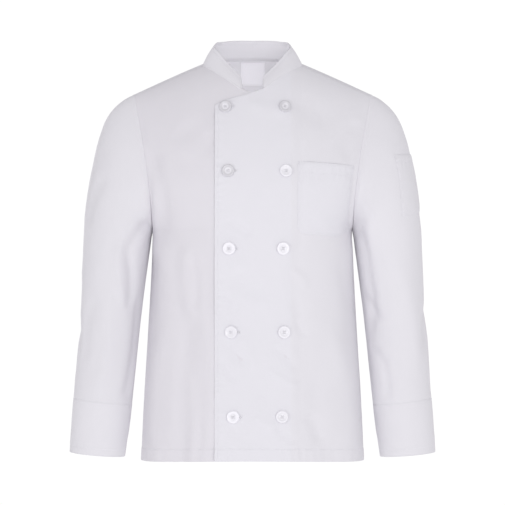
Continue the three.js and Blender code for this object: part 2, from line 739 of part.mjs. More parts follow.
// Collar stand: s runs along the neckline and h up the stand. Its front ends are rounded off.
function collarPoint(s, h) {
  const half = NECK_LENGTH / 2;
  const along = 1 - Math.abs(s - half) / half;
  const { point, onward } = necklineAt(s);
  const corner = Math.sqrt(1 - (1 - clamp(along / COLLAR_CORNER, 0.12, 1)) ** 2);
  const up = h * corner;
  const inward = new THREE.Vector3(-point.x, -point.y, 0).normalize();
  const stand = inward.multiplyScalar(collarLean(along) * up);
  stand.z += collarRise(along) * up;
  return point.addScaledVector(onward, COLLAR_GAP).add(stand);
}

const COLLAR_ROWS = 4;
const END_STEPS = [0.3, 0.62];
const collarColumns = [...range(0, NECK_LENGTH), ...END_STEPS, ...END_STEPS.map((e) => NECK_LENGTH - e)];
collarColumns.sort((a, b) => a - b);
const collarRows = range(0, COLLAR_ROWS).map((row) => row / COLLAR_ROWS);
const collarNodes = collarRows.map((h) => collarColumns.map((s) => ({ u: s, v: h, at: collarPoint(s, h) })));
collarNodes.forEach((row, i) =>
  row.forEach((node, j) => {
    const across = row[Math.min(j + 1, row.length - 1)].at.clone().sub(row[Math.max(j - 1, 0)].at);
    const lower = collarNodes[Math.max(i - 1, 0)][j].at;
    const upper = collarNodes[Math.min(i + 1, COLLAR_ROWS)][j].at;
    const own = across.cross(upper.clone().sub(lower)).normalize();
    node.out = necklineAt(node.u).out.lerp(own, smooth(node.v * 2)).normalize();
  }),
);
const collarInner = layer(collarNodes, () => -COLLAR_WALL);
addCloth("collar", wallBetween(layer(collarNodes, () => 0), collarInner, false));

// A point of the left front's outer face at x and height, and its normal.
function onLeftFront(x, height) {
  const at = (px, pz) => {
    const point = formPoint(px, levelAt(px, pz, "front"), "front");
    point.y -= SEAM_GAP / 2;
    return point;
  };
  const step = 0.05;
  const along = at(x + step, height).sub(at(x - step, height));
  const up = at(x, height + step).sub(at(x, height - step));
  const out = along.cross(up).normalize();
  const point = at(x, height);
  return { at: point, out, raise: frontRaise(point, 1) };
}

// The triangles of one face of a wall. Each corner has its point, its outward direction and its
// place on the flat plan that patches are cut out on.
function facesOf(grid, face, plan, round) {
  const nodes = grid.map((row, i) =>
    row.map((node, j) => ({ at: face[i][j], out: node.out, plan: plan(node, face[i][j]) })),
  );
  const faces = [];
  const columns = nodes[0].length;
  for (let i = 0; i < nodes.length - 1; i += 1) {
    for (let j = 0; j < (round ? columns : columns - 1); j += 1) {
      const k = (j + 1) % columns;
      const [a, b, c, d] = [nodes[i][j], nodes[i][k], nodes[i + 1][k], nodes[i + 1][j]];
      faces.push([a, b, c], [a, c, d]);
    }
  }
  return faces;
}

// What is left of a polygon on the inner side of one straight edge of an outline.
function cutBy(polygon, from, to) {
  const inside = (node) =>
    (to[0] - from[0]) * (node.plan[1] - from[1]) - (to[1] - from[1]) * (node.plan[0] - from[0]);
  const kept = [];
  polygon.forEach((node, i) => {
    const after = polygon[(i + 1) % polygon.length];
    const [here, there] = [inside(node), inside(after)];
    if (here >= 0) kept.push(node);
    if (here * there < 0) {
      const t = here / (here - there);
      kept.push({
        at: node.at.clone().lerp(after.at, t),
        out: node.out.clone().lerp(after.out, t),
        plan: [mix(node.plan[0], after.plan[0], t), mix(node.plan[1], after.plan[1], t)],
      });
    }
  });
  return kept;
}

// A patch that lies on a panel: the panel's own faces inside an outline, moved off it. The outline
// runs anticlockwise on the plan. "near" and "far" are the distances of the patch's two faces.
function patchOn(faces, outline, near, far) {
  const nodes = [];
  const known = new Map();
  const numberOf = (node) => {
    const key = node.at.toArray().map((n) => Math.round(n * 50)).join();
    if (!known.has(key)) {
      known.set(key, nodes.length);
      nodes.push(node);
    }
    return known.get(key);
  };
  const triangles = [];
  for (const face of faces) {
    let polygon = face;
    outline.forEach((corner, i) => {
      polygon = cutBy(polygon, corner, outline[(i + 1) % outline.length]);
    });
    const corners = polygon.map(numberOf).filter((n, i, all) => n !== all[(i + 1) % all.length]);
    for (let i = 1; i + 1 < corners.length; i += 1) triangles.push([corners[0], corners[i], corners[i + 1]]);
  }
  const count = nodes.length;
  const positions = [near, far].flatMap((distance) =>
    nodes.flatMap((node) => node.at.clone().addScaledVector(node.out, distance).toArray()),
  );
  const used = new Set(triangles.flatMap(([a, b, c]) => [`${a},${b}`, `${b},${c}`, `${c},${a}`]));
  const index = [];
  for (const [a, b, c] of triangles) {
    index.push(a, b, c, count + a, count + c, count + b);
    for (const [p, q] of [[a, b], [b, c], [c, a]]) {
      if (!used.has(`${q},${p}`)) index.push(p, count + p, count + q, p, count + q, q);
    }
  }
  const geometry = new THREE.BufferGeometry();
  geometry.setAttribute("position", new THREE.Float32BufferAttribute(positions, 3));
  geometry.setIndex(index);
  return outwards(geometry);
}

const anticlockwise = (outline) => {
  const turn = outline.reduce((sum, [x, y], i) => {
    const [nextX, nextY] = outline[(i + 1) % outline.length];
    return sum + x * nextY - nextX * y;
  }, 0);
  return turn > 0 ? outline : [...outline].reverse();
};

const frontPlan = (node, point) => [point.x, point.z];
const leftFaces = facesOf(fronts.left.grid, fronts.left.outer, frontPlan, false);
const { topIn, topOut, lowIn, lowOut, chamfer } = CHEST_POCKET;
const chestOutline = anticlockwise([
  topIn,
  [lowIn[0], lowIn[1] + chamfer],
  [lowIn[0] + chamfer, lowIn[1]],
  [lowOut[0] - chamfer, lowOut[1]],
  [lowOut[0], lowOut[1] + chamfer],
  topOut,
]);
const POCKET_OFF = SEAM_GAP + 0.1;
addCloth("chest_pocket", patchOn(leftFaces, chestOutline, POCKET_OFF, POCKET_OFF + POCKET_WALL));

// On the sleeve the plan is unrolled: degrees forward of the sleeve's outer line, and height.
const sleevePlan = (node, point) => [180 - ringDegrees(node.u), point.z];
const sleeveFaces = facesOf(leftSleeve, sleeves.left.outer, sleevePlan, true).filter(
  (face) => Math.max(...face.map((node) => node.plan[0])) - Math.min(...face.map((node) => node.plan[0])) < 180,
);
const sleeveOutline = anticlockwise([
  SLEEVE_POCKET.topFront,
  SLEEVE_POCKET.lowFront,
  SLEEVE_POCKET.lowBack,
  SLEEVE_POCKET.topBack,
]);
addCloth("sleeve_pocket", patchOn(sleeveFaces, sleeveOutline, POCKET_OFF, POCKET_OFF + POCKET_WALL));

// Label: a small cloth rectangle below the collar seam, inside the back.
const backFaces = facesOf(back.grid, back.inner, frontPlan, false);
const labelOutline = anticlockwise([
  [LABEL.left, LABEL.top],
  [LABEL.left, LABEL.low],
  [LABEL.right, LABEL.low],
  [LABEL.right, LABEL.top],
]);
const labelGeometry = patchOn(backFaces, labelOutline, -SEAM_GAP, -SEAM_GAP - LABEL_WALL);
addPiece("label", labelGeometry, LABEL_COLOUR, 0.7);

// A round button with a raised rim and a sunk middle, standing on a short thread shank.
function buttonGeometry() {
  const { radius, back: foot, thick, rim, well, shank } = BUTTON;
  const profile = [
    [0, 0],
    [shank, 0],
    [shank, foot],
    [radius - BUTTON.foot, foot],
    [radius, mix(foot, thick, 0.5)],
    [radius - 0.45 * rim, thick],
    [radius - rim - 1, well],
    [0, well],
  ].map(([r, z]) => new THREE.Vector2(r, z));
  return new THREE.LatheGeometry(profile, BUTTON_SIDES).rotateX(Math.PI / 2);
}

for (const { row, lapX, sideX, height } of BUTTONS) {
  for (const [column, x] of [["lap", lapX], ["side", sideX]]) {
    const { at, out, raise } = onLeftFront(x, height);
    const mesh = addPiece(`button_${row}_${column}`, buttonGeometry(), BUTTON_COLOUR, 0.35);
    mesh.position.copy(at).addScaledVector(out, raise + BUTTON.off);
    mesh.quaternion.setFromUnitVectors(new THREE.Vector3(0, 0, 1), out);
  }
}

export default jacket;
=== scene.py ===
"""A double-breasted chef jacket, dressed in its cloth, seams, stitches and buttons.

Lengths are millimetres until a mesh is made, because the garment's sizes are in millimetres.
The front faces -Y, the wearer's left is +X, and the origin is the middle of the neck hole.
"""
import math

import bmesh
import bpy
import numpy as np
from bpy.props import FloatProperty, FloatVectorProperty, IntProperty, PointerProperty
from mathutils import Matrix, Vector
from mathutils.bvhtree import BVHTree


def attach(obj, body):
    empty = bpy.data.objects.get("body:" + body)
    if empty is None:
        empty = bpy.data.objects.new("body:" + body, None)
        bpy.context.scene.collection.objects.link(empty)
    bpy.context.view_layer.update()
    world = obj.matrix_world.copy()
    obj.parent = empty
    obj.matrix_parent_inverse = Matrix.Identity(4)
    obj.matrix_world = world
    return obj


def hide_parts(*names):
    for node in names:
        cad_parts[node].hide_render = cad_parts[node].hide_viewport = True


bl_info = {
    "name": "Chef Jacket",
    "version": (1, 0, 0),
    "blender": (4, 5, 0),
    "location": "View3D > Sidebar > Jacket",
    "description": "Makes a chef jacket piece by piece around its packed solids",
    "category": "Add Mesh",
}

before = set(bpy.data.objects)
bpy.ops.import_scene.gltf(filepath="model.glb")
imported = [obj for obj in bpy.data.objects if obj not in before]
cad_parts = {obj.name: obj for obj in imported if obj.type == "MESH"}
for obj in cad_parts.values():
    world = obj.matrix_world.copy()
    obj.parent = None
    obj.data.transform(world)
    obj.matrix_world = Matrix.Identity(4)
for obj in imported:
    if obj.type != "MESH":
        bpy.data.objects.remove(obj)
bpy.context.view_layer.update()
MM = 0.001
BODY_NAME = "root"

# Sizes shared with the solids, in millimetres.
CLOTH = 1.5
COLLAR_WALL = 2.2
CUFF_WALL = 2.2
POCKET_WALL = 1.2
SEAM_GAP = 0.3
LAP_GAP = 0.9
HEM = -730
ARMPIT = -309
SHOULDER_TOP = 0
LAP = 67.5
COLLAR_END = 20
NECK_HALF = 92
SEAM_SHARE = 0.985
NECK_SHARE = 0.982
HEM_LIFT = {"front": 7, "back": -4}
HEM_LIFT_TOP = -560
ARCH_START = {"front": -230, "back": -160}
ARCH_POWER = {"front": 1.8, "back": 2.4}
SHOULDER_PEAK = 24
SHOULDER_FALL = 0.483
SHOULDER_ROUND = 60
LAP_LIFT = CLOTH + LAP_GAP
LAP_LIFT_FROM = 70
LAP_LIFT_TO = 90

# Rough lengths along the cloth, in millimetres, which set how many cells a stretch gets.
FRONT_SIDE_WIDTH = 150
BACK_SIDE_WIDTH = 165
UPPER_HEIGHT = 300

# Half the body's width at the hem, across which the hem's lift fades.
HEM_HALF = 205

# Seeds of the soft waves and the gathers, so that each piece is the same in every run.
SEEDS = {
    "front_left": 11, "front_right": 21, "lap": 31, "front_left_hem": 41, "front_right_hem": 43,
    "back": 51, "back_hem": 57, "sleeve_left": 61, "sleeve_right": 71, "cuff": 81, "collar": 91,
    "chest_pocket": 101, "sleeve_pocket": 111,
}


def table(names, rows):
    """Rows of numbers as one array for each named column."""
    return dict(zip(names.split(), np.array(rows, dtype=float).T))


BODY = table(
    "level half front back square",
    [
        (-730, 205.5, 137, 132, 2.3),
        (-660, 201.8, 136, 129, 2.3),
        (-570, 197.2, 132, 120, 2.28),
        (-480, 192.2, 128, 113, 2.26),
        (-390, 187.2, 129, 117, 2.24),
        (-348, 185.4, 130, 121, 2.22),
        (-309, 184.2, 130, 125, 2.2),
        (-290, 192, 130, 127, 2.2),
        (-260, 207, 129, 129, 2.2),
        (-230, 218, 127, 131, 2.2),
        (-190, 226, 123, 132, 2.2),
        (-140, 232, 118, 131, 2.2),
        (-70, 238, 111, 126, 2.2),
        (0, 244, 106, 120, 2.2),
    ],
)
ARMHOLE = table(
    "height half",
    [
        (-309, 184.2), (-280, 184.9), (-250, 187), (-215, 190.8), (-187, 194.8),
        (-159, 199), (-128, 204.5), (-95, 211), (-56, 218.5),
    ],
)
FRONT_TOP = table(
    "x height",
    [
        (-67.5, -81), (-55, -74), (-35, -68), (-8, -60.5), (20, -50),
        (35, -39.5), (50, -29.5), (71, -15.5), (92, -3.45),
    ],
)
BACK_TOP = table(
    "x height",
    [(0, 10), (25, 9.6), (50, 7.8), (70, 4.7), (85, 1.9), (92, 0)],
)
RING_NAMES = "ring outer_x outer_z inner_x inner_z depth shift keep"
SLEEVE_ROWS = [
    (1, 238, -69, 184.9, -311.5, 75, 0, 0.93),
    (2, 255, -82, 185.5, -314.5, 77, 0, 0.84),
    (3, 270.5, -103, 186.1, -317.5, 78, 0, 0.73),
    (4, 281.5, -130, 186.7, -321, 78, 0, 0.6),
    (5, 290, -160, 187.4, -325.5, 77.5, 0, 0.47),
    (6, 296.5, -192, 188.3, -333, 76.5, -1, 0.34),
    (7, 302, -225, 189.6, -344, 75, -2, 0.22),
    (8, 306.5, -259, 191.7, -359, 73.5, -3, 0.12),
    (9, 310.5, -300, 194.7, -381, 71.5, -4, 0.05),
    (10, 313.4, -352, 198.8, -412, 69, -6, 0),
    (11, 316.6, -410, 203.6, -452, 65.5, -9, 0),
    (12, 319.8, -468, 208.8, -500, 61.5, -13, 0),
    (13, 323.4, -528, 214, -552, 57, -17, 0),
    (14, 326.6, -578, 218.3, -594, 53, -20.5, 0),
    (15, 329.2, -616, 221.7, -627, 50, -23, 0),
]
CUFF_ROWS = [
    (0, 329.25, -616.3, 221.75, -627.3, 50, -23, 0),
    (1, 331.6, -651, 226, -661, 47.6, -25, 0),
    (2, 333.8, -684, 230.4, -693, 45.6, -27, 0),
    (3, 335.6, -714, 234.6, -722.5, 44, -28.5, 0),
]
COLLAR = table(
    "along lean rise",
    [(0, 15, 18), (0.2, 17, 22), (0.4, 19, 31), (0.55, 20, 38), (0.75, 12, 37), (1, 6, 36)],
)

# Columns and rows that the solids count their surfaces by.
LAP_COLUMNS = 6
SIDE_COLUMNS = 8
LOWER_ROWS = 10
UPPER_ROWS = 13
OVER_ROWS = 2
FRONT_NECK = np.array([COLLAR_END, 38, 55, 70, 80, NECK_HALF], float)
BACK_NECK = np.array([0, 25, 47, 66, 79, 87, NECK_HALF], float)
NECK_COLUMN = LAP_COLUMNS + len(FRONT_NECK) - 1
FRONT_COLUMNS = NECK_COLUMN + SIDE_COLUMNS
FRONT_ROWS = LOWER_ROWS + UPPER_ROWS
SHOULDER_COLUMN = len(BACK_NECK) - 1
BACK_COLUMNS = SHOULDER_COLUMN + SIDE_COLUMNS
RIDGE_ROW = LOWER_ROWS + UPPER_ROWS
BACK_ROWS = RIDGE_ROW + OVER_ROWS
RING_COLUMNS = 2 * UPPER_ROWS + OVER_ROWS
ARMHOLE_DEPTH = 73

# Creases: two ends, width and depth. A positive depth is a trough and a negative one a ridge. The
# ends on the body are x, as seen from the front, and height. Those on a sleeve are degrees round
# from the underarm line, forwards, and height.
CREASES = {
    "front_right": [
        (-186, -160, -166, -335, 13, 2.8),
        (-168, -190, -150, -420, 16, -2.2),
        (-128, -120, -70, -165, 26, 1.2),
        (-140, -170, -72, -120, 20, -1.0),
        (-108, -360, -104, -450, 7, 1.6),
        (-118, -330, -112, -470, 12, -1.6),
        (-132, -420, -140, -760, 20, 2.4),
        (-160, -480, -168, -760, 16, -2.4),
        (-98, -400, -97, -770, 13, -1.3),
        (-114, -480, -115, -770, 13, 1.4),
        (-120, -560, -118, -770, 12, -1.6),
        (-175, -350, -186, -470, 12, 1.8),
        (-96, -640, -110, -765, 8, 1.4),
    ],
    "front_left": [
        (187, -190, 170, -320, 12, 2.2),
        (190, -110, 170, -180, 16, 1.6),
        (60, -80, 150, -110, 24, 1.8),
        (-10, -75, 90, -95, 14, -1.0),
        (-44, -290, -4, -318, 9, 1.1),
        (-50, -330, -22, -380, 9, -1.2),
        (-40, -392, 16, -420, 15, 0.9),
        (-30, -428, 26, -442, 12, -0.7),
        (-58, -420, -28, -458, 7, 1.0),
        (-46, -505, -14, -548, 9, 1.4),
        (-22, -500, 6, -560, 10, -1.0),
        (-56, -540, -30, -580, 7, 1.0),
        (40, -520, 78, -560, 8, 1.1),
        (30, -560, 82, -590, 7, -1.0),
        (4, -596, 66, -642, 19, 0.8),
        (-44, -652, 10, -694, 13, 0.9),
        (0, -645, 40, -668, 9, -1.1),
        (44, -662, 78, -690, 8, 1.2),
        (100, -640, 122, -690, 12, 1.8),
        (116, -560, 150, -745, 22, 2.2),
        (138, -480, 178, -740, 18, -2.2),
        (82, -320, 84, -480, 12, 1.4),
        (72, -380, 98, -410, 8, -1.0),
        (78, -470, 96, -500, 7, 1.0),
        (160, -360, 176, -520, 14, 1.6),
    ],
    "back": [
        (168, -120, 150, -380, 18, 4.0),
        (-170, -120, -152, -400, 19, 3.6),
        (140, -170, 118, -340, 16, -2.4),
        (-142, -160, -126, -360, 18, -2.6),
        (60, -400, 84, -770, 24, 3.6),
        (-66, -420, -76, -770, 22, 3.2),
        (10, -430, 4, -770, 26, -2.6),
        (120, -430, 138, -770, 18, -2.4),
        (-118, -440, -134, -770, 20, -2.8),
        (-40, -60, 30, -80, 20, 1.6),
        (60, -300, -50, -330, 18, 1.4),
        (-90, -370, -30, -410, 14, 1.4),
        (96, -360, 40, -404, 15, 1.6),
    ],
    "sleeve_left": [
        (40, -300, 30, -500, 13, 3.0),
        (70, -260, 54, -420, 13, -2.2),
        (200, -330, 150, -520, 14, 3.4),
        (176, -440, 150, -500, 9, 2.4),
        (318, -330, 262, -480, 14, 3.2),
        (300, -420, 330, -520, 12, -2.2),
        (60, -560, 52, -640, 10, 1.8),
        (166, -560, 172, -610, 8, 2.2),
        (96, -360, 120, -560, 18, -1.6),
        (20, -420, 60, -470, 9, 2.2),
        (24, -520, 64, -560, 10, 1.6),
        (236, -560, 200, -620, 10, 1.8),
    ],
    "sleeve_right": [
        (34, -290, 66, -350, 12, 3.2),
        (66, -345, 50, -450, 10, 3.4),
        (82, -330, 64, -440, 9, -2.0),
        (30, -430, 40, -620, 14, 3.0),
        (170, -400, 158, -520, 12, 3.0),
        (200, -470, 160, -540, 12, 2.2),
        (318, -330, 262, -500, 14, 3.2),
        (300, -430, 330, -520, 12, -2.2),
        (130, -210, 150, -300, 14, 1.6),
        (100, -420, 92, -600, 16, -1.8),
        (120, -430, 132, -540, 14, 1.8),
        (236, -540, 200, -620, 10, 2.0),
    ],
}


def smooth(t):
    """0 to 1 with soft ends."""
    t = np.clip(t, 0, 1)
    return t * t * (3 - 2 * t)


def mix(a, b, t):
    return a + (b - a) * t


def curve(rows, key, column):
    """A smooth curve through one named column of a table, read against another column."""
    x = rows[key]
    y = rows[column]
    slope = np.empty(len(x))
    slope[1:-1] = (y[2:] - y[:-2]) / (x[2:] - x[:-2])
    slope[0] = (y[1] - y[0]) / (x[1] - x[0])
    slope[-1] = (y[-1] - y[-2]) / (x[-1] - x[-2])

    def read(at):
        p = np.clip(np.asarray(at, float), x[0], x[-1])
        i = np.clip(np.searchsorted(x, p, side="left") - 1, 0, len(x) - 2)
        step = x[i + 1] - x[i]
        t = (p - x[i]) / step
        rise = t * t * (3 - 2 * t)
        start = t * (1 - t) ** 2 * step * slope[i]
        end = t * t * (t - 1) * step * slope[i + 1]
        return y[i] + (y[i + 1] - y[i]) * rise + start + end

    return read


body_half = curve(BODY, "level", "half")
body_depth = {"front": curve(BODY, "level", "front"), "back": curve(BODY, "level", "back")}
body_square = curve(BODY, "level", "square")
armhole_half = curve(ARMHOLE, "height", "half")
front_top = curve(FRONT_TOP, "x", "height")
back_top = curve(BACK_TOP, "x", "height")
collar_lean = curve(COLLAR, "along", "lean")
collar_rise = curve(COLLAR, "along", "rise")


def shoulder_height(x):
    return SHOULDER_PEAK - SHOULDER_FALL * (np.hypot(x, SHOULDER_ROUND) - SHOULDER_ROUND)


def arch_share(level, face):
    start = ARCH_START[face]
    return np.clip((level - start) / (SHOULDER_TOP - start), 0, 1)


def height_of(x, level, face):
    """Real height of a level at x."""
    start = ARCH_START[face]
    upper = start + (shoulder_height(x) - start) * arch_share(level, face)
    lift = HEM_LIFT[face] * (1 - np.clip(np.abs(x) / body_half(level), 0, 1) ** 2)
    lower = level + lift * smooth((HEM_LIFT_TOP - level) / (HEM_LIFT_TOP - HEM))
    return np.where(level > start, upper, lower)


def level_at(x, height, face):
    """The level whose height at x is the one given."""
    start = ARCH_START[face]
    upper = start + (height - start) / (shoulder_height(x) - start) * (SHOULDER_TOP - start)
    return np.where(height <= start, height, upper)


EDGE_ROUNDS = 12


def edge_half(level, face):
    """Half width at which a panel ends: the side seam, or the armhole seam above the armpit."""
    x = body_half(ARMPIT) + 0 * level
    for _ in range(EDGE_ROUNDS):
        x = armhole_half(height_of(x, level, face))
    return np.where(level <= ARMPIT, body_half(level), np.minimum(x, body_half(level)))


def form_point(x, level, face):
    """A point of the body form at x and level."""
    square = body_square(level)
    across = (1 - np.clip(np.abs(x) / body_half(level), 0, 1) ** square) ** (1 / square)
    power = ARCH_POWER[face]
    arch = (1 - arch_share(level, face) ** power) ** (1 / power)
    forward = -1 if face == "front" else 1
    y = forward * body_depth[face](level) * across * arch
    return np.stack([x + 0 * y, y, height_of(x, level, face)], -1)


def round_x(share, level, face):
    """x of a column that lies a share of the way round from the neck's column to the edge."""
    half = body_half(level)
    power = body_square(level) / 2
    neck_angle = np.arcsin(np.clip(NECK_HALF / half, 0, 1) ** power)
    edge_angle = np.arcsin(np.clip(edge_half(level, face) / half, 0, 1) ** power)
    return half * np.sin(mix(neck_angle, edge_angle, share)) ** (1 / power)


def upper_share(v):
    """How far up from the armpit to its top a panel's row lies. Rows are closer at both ends."""
    return (1 - np.cos(np.pi * np.clip((v - LOWER_ROWS) / UPPER_ROWS, 0, 1))) / 2


def row_level(v, upper):
    """The level of a row: even from the hem to the armpit, and upper from there on."""
    return np.where(v <= LOWER_ROWS, mix(HEM, ARMPIT, v / LOWER_ROWS), upper)


def front_x(u, level):
    lap = mix(-LAP, COLLAR_END, u / LAP_COLUMNS)
    neck = np.interp(u - LAP_COLUMNS, np.arange(len(FRONT_NECK)), FRONT_NECK)
    side = round_x(np.clip((u - NECK_COLUMN) / SIDE_COLUMNS, 0, 1), level, "front")
    return np.where(u <= LAP_COLUMNS, lap, np.where(u <= NECK_COLUMN, neck, side))


def front_point(u, v):
    """The left front's form. u counts columns from the lap's edge, v rows from the hem."""
    flat_x = front_x(u, ARMPIT + 0 * u)
    seam = mix(ARCH_START["front"], SHOULDER_TOP, SEAM_SHARE)
    top = np.where(u >= NECK_COLUMN, seam, level_at(flat_x, front_top(flat_x), "front"))
    level = row_level(v, mix(ARMPIT, top, upper_share(v)))
    point = form_point(front_x(u, level), level, "front")
    point[..., 1] -= SEAM_GAP / 2
    return point


def back_side(u, v):
    """The back's columns at and beyond the side of the neck, for u and v from the middle out."""
    way = np.sign(u)
    share = np.clip((np.abs(u) - SHOULDER_COLUMN) / SIDE_COLUMNS, 0, 1)
    level = row_level(v, mix(ARMPIT, SHOULDER_TOP, upper_share(v)))
    behind = form_point(way * round_x(share, level, "back"), level, "back")
    over = np.clip((v - RIDGE_ROW) / OVER_ROWS, 0, 1) ** 2
    front_level = mix(ARCH_START["front"], SHOULDER_TOP, mix(1, SEAM_SHARE, over))
    before = form_point(way * round_x(share, front_level, "front"), front_level, "front")
    return np.where((v <= RIDGE_ROW)[..., None], behind, before)


def back_middle(u, v):
    """The back's columns under the neck."""
    x = np.sign(u) * np.interp(np.abs(u), np.arange(len(BACK_NECK)), BACK_NECK)
    top = level_at(x, back_top(np.abs(x)), "back")
    high_share = mix(NECK_SHARE, 1, (v - RIDGE_ROW) / OVER_ROWS)
    share = np.where(v > RIDGE_ROW, high_share, NECK_SHARE * upper_share(v))
    return form_point(x, row_level(v, mix(ARMPIT, top, share)), "back")


def back_point(u, v):
    """The back's form. u counts columns from the middle to the left, v rows from the hem."""
    column = np.abs(u)
    last = SHOULDER_COLUMN - 1
    inner = back_middle(np.sign(u) * np.minimum(column, last), v)
    middle = back_middle(u, v)
    outer = back_side(np.sign(u) * np.maximum(column, SHOULDER_COLUMN), v)
    share = np.clip(column - last, 0, 1)[..., None]
    point = np.where((column <= last)[..., None], middle, mix(inner, outer, share))
    point[..., 1] += SEAM_GAP / 2
    return point


def armhole_point(u):
    """The left armhole as a ring, from the underarm up the front and down the back."""
    front = front_point(FRONT_COLUMNS + 0 * u, LOWER_ROWS + np.minimum(u, UPPER_ROWS))
    behind = np.minimum(LOWER_ROWS + RING_COLUMNS - u, BACK_ROWS)
    back = back_point(BACK_COLUMNS + 0 * u, behind)
    return np.where((u <= UPPER_ROWS)[..., None], front, back)


def ring_axes(row):
    """Centre, radius and the two directions of a sleeve ring, seen from the front."""
    dx = row["outer_x"] - row["inner_x"]
    dz = row["outer_z"] - row["inner_z"]
    length = np.hypot(dx, dz)
    zero = 0 * dx
    middle_x = (row["outer_x"] + row["inner_x"]) / 2
    middle_z = (row["outer_z"] + row["inner_z"]) / 2
    centre = np.stack([middle_x, zero, middle_z], -1)
    across = np.stack([dx / length, zero, dz / length], -1)
    along = np.stack([dz / length, zero, -dx / length], -1)
    return centre, length / 2, across, along


ARMHOLE_RIDGE = armhole_point(np.array([float(UPPER_ROWS + OVER_ROWS)]))[0]
ARMHOLE_LOW = armhole_point(np.array([0.0]))[0]
ARMHOLE_ROW = (
    0,
    ARMHOLE_RIDGE[0] + SEAM_GAP,
    ARMHOLE_RIDGE[2],
    ARMHOLE_LOW[0] + SEAM_GAP,
    ARMHOLE_LOW[2],
    ARMHOLE_DEPTH,
    0,
    1,
)
ARMHOLE_AXES = ring_axes({k: v[0] for k, v in table(RING_NAMES, [ARMHOLE_ROW]).items()})


def armhole_shape(u):
    """The armhole in its ring's own measure: across, before, out of the plane, and the angle."""
    point = armhole_point(np.mod(u, RING_COLUMNS))
    point[..., 0] += SEAM_GAP
    centre, radius, across_axis, along_axis = ARMHOLE_AXES
    offset = point - centre
    across = offset @ across_axis / radius
    before = -point[..., 1] / ARMHOLE_DEPTH
    return across, before, offset @ along_axis, np.arctan2(before, -across)


def ring_surface(rows):
    """A sleeve or cuff surface through a table of rings."""
    rings = table(RING_NAMES, rows)
    read = {name: curve(rings, "ring", name) for name in RING_NAMES.split()[1:]}

    def surface(u, v):
        row = {name: at(v) for name, at in read.items()}
        shape_across, shape_before, off, angle = armhole_shape(u)
        centre, radius, across, along = ring_axes(row)
        keep = row["keep"]
        a = (mix(-np.cos(angle), shape_across, keep) * radius)[..., None]
        b = mix(np.sin(angle), shape_before, keep)
        point = centre + across * a + along * (keep * off)[..., None]
        point[..., 1] += row["shift"] - row["depth"] * b
        return point

    return surface


sleeve_point = ring_surface([ARMHOLE_ROW] + SLEEVE_ROWS)
cuff_point = ring_surface(CUFF_ROWS)
SLEEVE_RINGS = len(SLEEVE_ROWS)
CUFF_RINGS = len(CUFF_ROWS) - 1


def lap_lift(x):
    return LAP_LIFT * (1 - smooth((x - LAP_LIFT_FROM) / (LAP_LIFT_TO - LAP_LIFT_FROM)))


def near(away, width):
    """1 on a line, fading to nothing past a width on both sides of it."""
    return np.exp(-((away / width) ** 2))


# A crease bows by a share of its length and fades out a share of it past each end.
CREASE_BOW = 0.06
CREASE_END = 0.12
CREASE_FADE = 3.2


def crease_depth(a, b, creases, stretch=1.0):
    """Sum of creases at plan coordinates a, b. stretch turns a's unit into mm."""
    total = np.zeros(np.broadcast(a, b).shape)
    for k, (a0, b0, a1, b1, width, depth) in enumerate(creases):
        da = (a1 - a0) * stretch
        db = b1 - b0
        length = math.hypot(da, db)
        pa = (a - a0) * stretch
        pb = b - b0
        t = (pa * da + pb * db) / length**2
        bow = CREASE_BOW * length * np.sin(np.pi * np.clip(t, 0, 1)) * (1 if k % 2 else -1)
        apart = (pa * db - pb * da) / length - bow
        ends = smooth((t + CREASE_END) * CREASE_FADE) * smooth((1 + CREASE_END - t) * CREASE_FADE)
        total += depth * ends * near(apart, width)
    return total


def wander(a, b, size, seed):
    """Smooth random waves from -1 to 1, the same each run."""
    lattice = np.random.default_rng(seed).uniform(-1, 1, (64, 64))
    x = np.asarray(a, float) / size
    y = np.asarray(b, float) / size
    i = np.floor(x).astype(int)
    j = np.floor(y).astype(int)
    s = smooth(x - i)
    t = smooth(y - j)

    def corner(di, dj):
        return lattice[(i + di) % 64, (j + dj) % 64]

    low = mix(corner(0, 0), corner(1, 0), s)
    high = mix(corner(0, 1), corner(1, 1), s)
    return mix(low, high, t)


def soft_waves(a, b, seed, strength=1.0):
    """The cloth's general unevenness, in mm."""
    broad = 1.3 * wander(a, b * 0.45, 62, seed)
    middle = 0.75 * wander(a, b * 0.6, 27, seed + 1)
    fine = 0.22 * wander(a, b, 9, seed + 2)
    return strength * (broad + middle + fine)


def puckers(along, away, reach, pitch, depth, seed):
    """Small gathers that a row of stitches draws into the cloth beside it."""
    phase = along / pitch + 0.8 * wander(along, away, pitch * 2.5, seed)
    uneven = 0.55 + 0.45 * wander(along, 0 * along, pitch * 5, seed + 3)
    return depth * uneven * np.sin(2 * np.pi * phase) * near(away, reach)


def groove(away, width=1.1, depth=0.45):
    """The dent that a row of stitches presses into the cloth."""
    return depth * near(away, width)


def unit(vectors):
    """Vectors scaled to length 1."""
    return vectors / np.maximum(np.linalg.norm(vectors, axis=-1, keepdims=True), 1e-9)


def along_line(at, run, values):
    """Points or normals at distances along a line, where run holds the distance of each value."""
    return np.stack([np.interp(at, run, values[:, k]) for k in range(3)], -1)


def grid_normals(points, closed):
    """Normals of a grid of points, from its rows and columns."""
    if closed:
        du = np.roll(points, -1, 1) - np.roll(points, 1, 1)
    else:
        du = np.gradient(points, axis=1)
    return unit(np.cross(du, np.gradient(points, axis=0)))


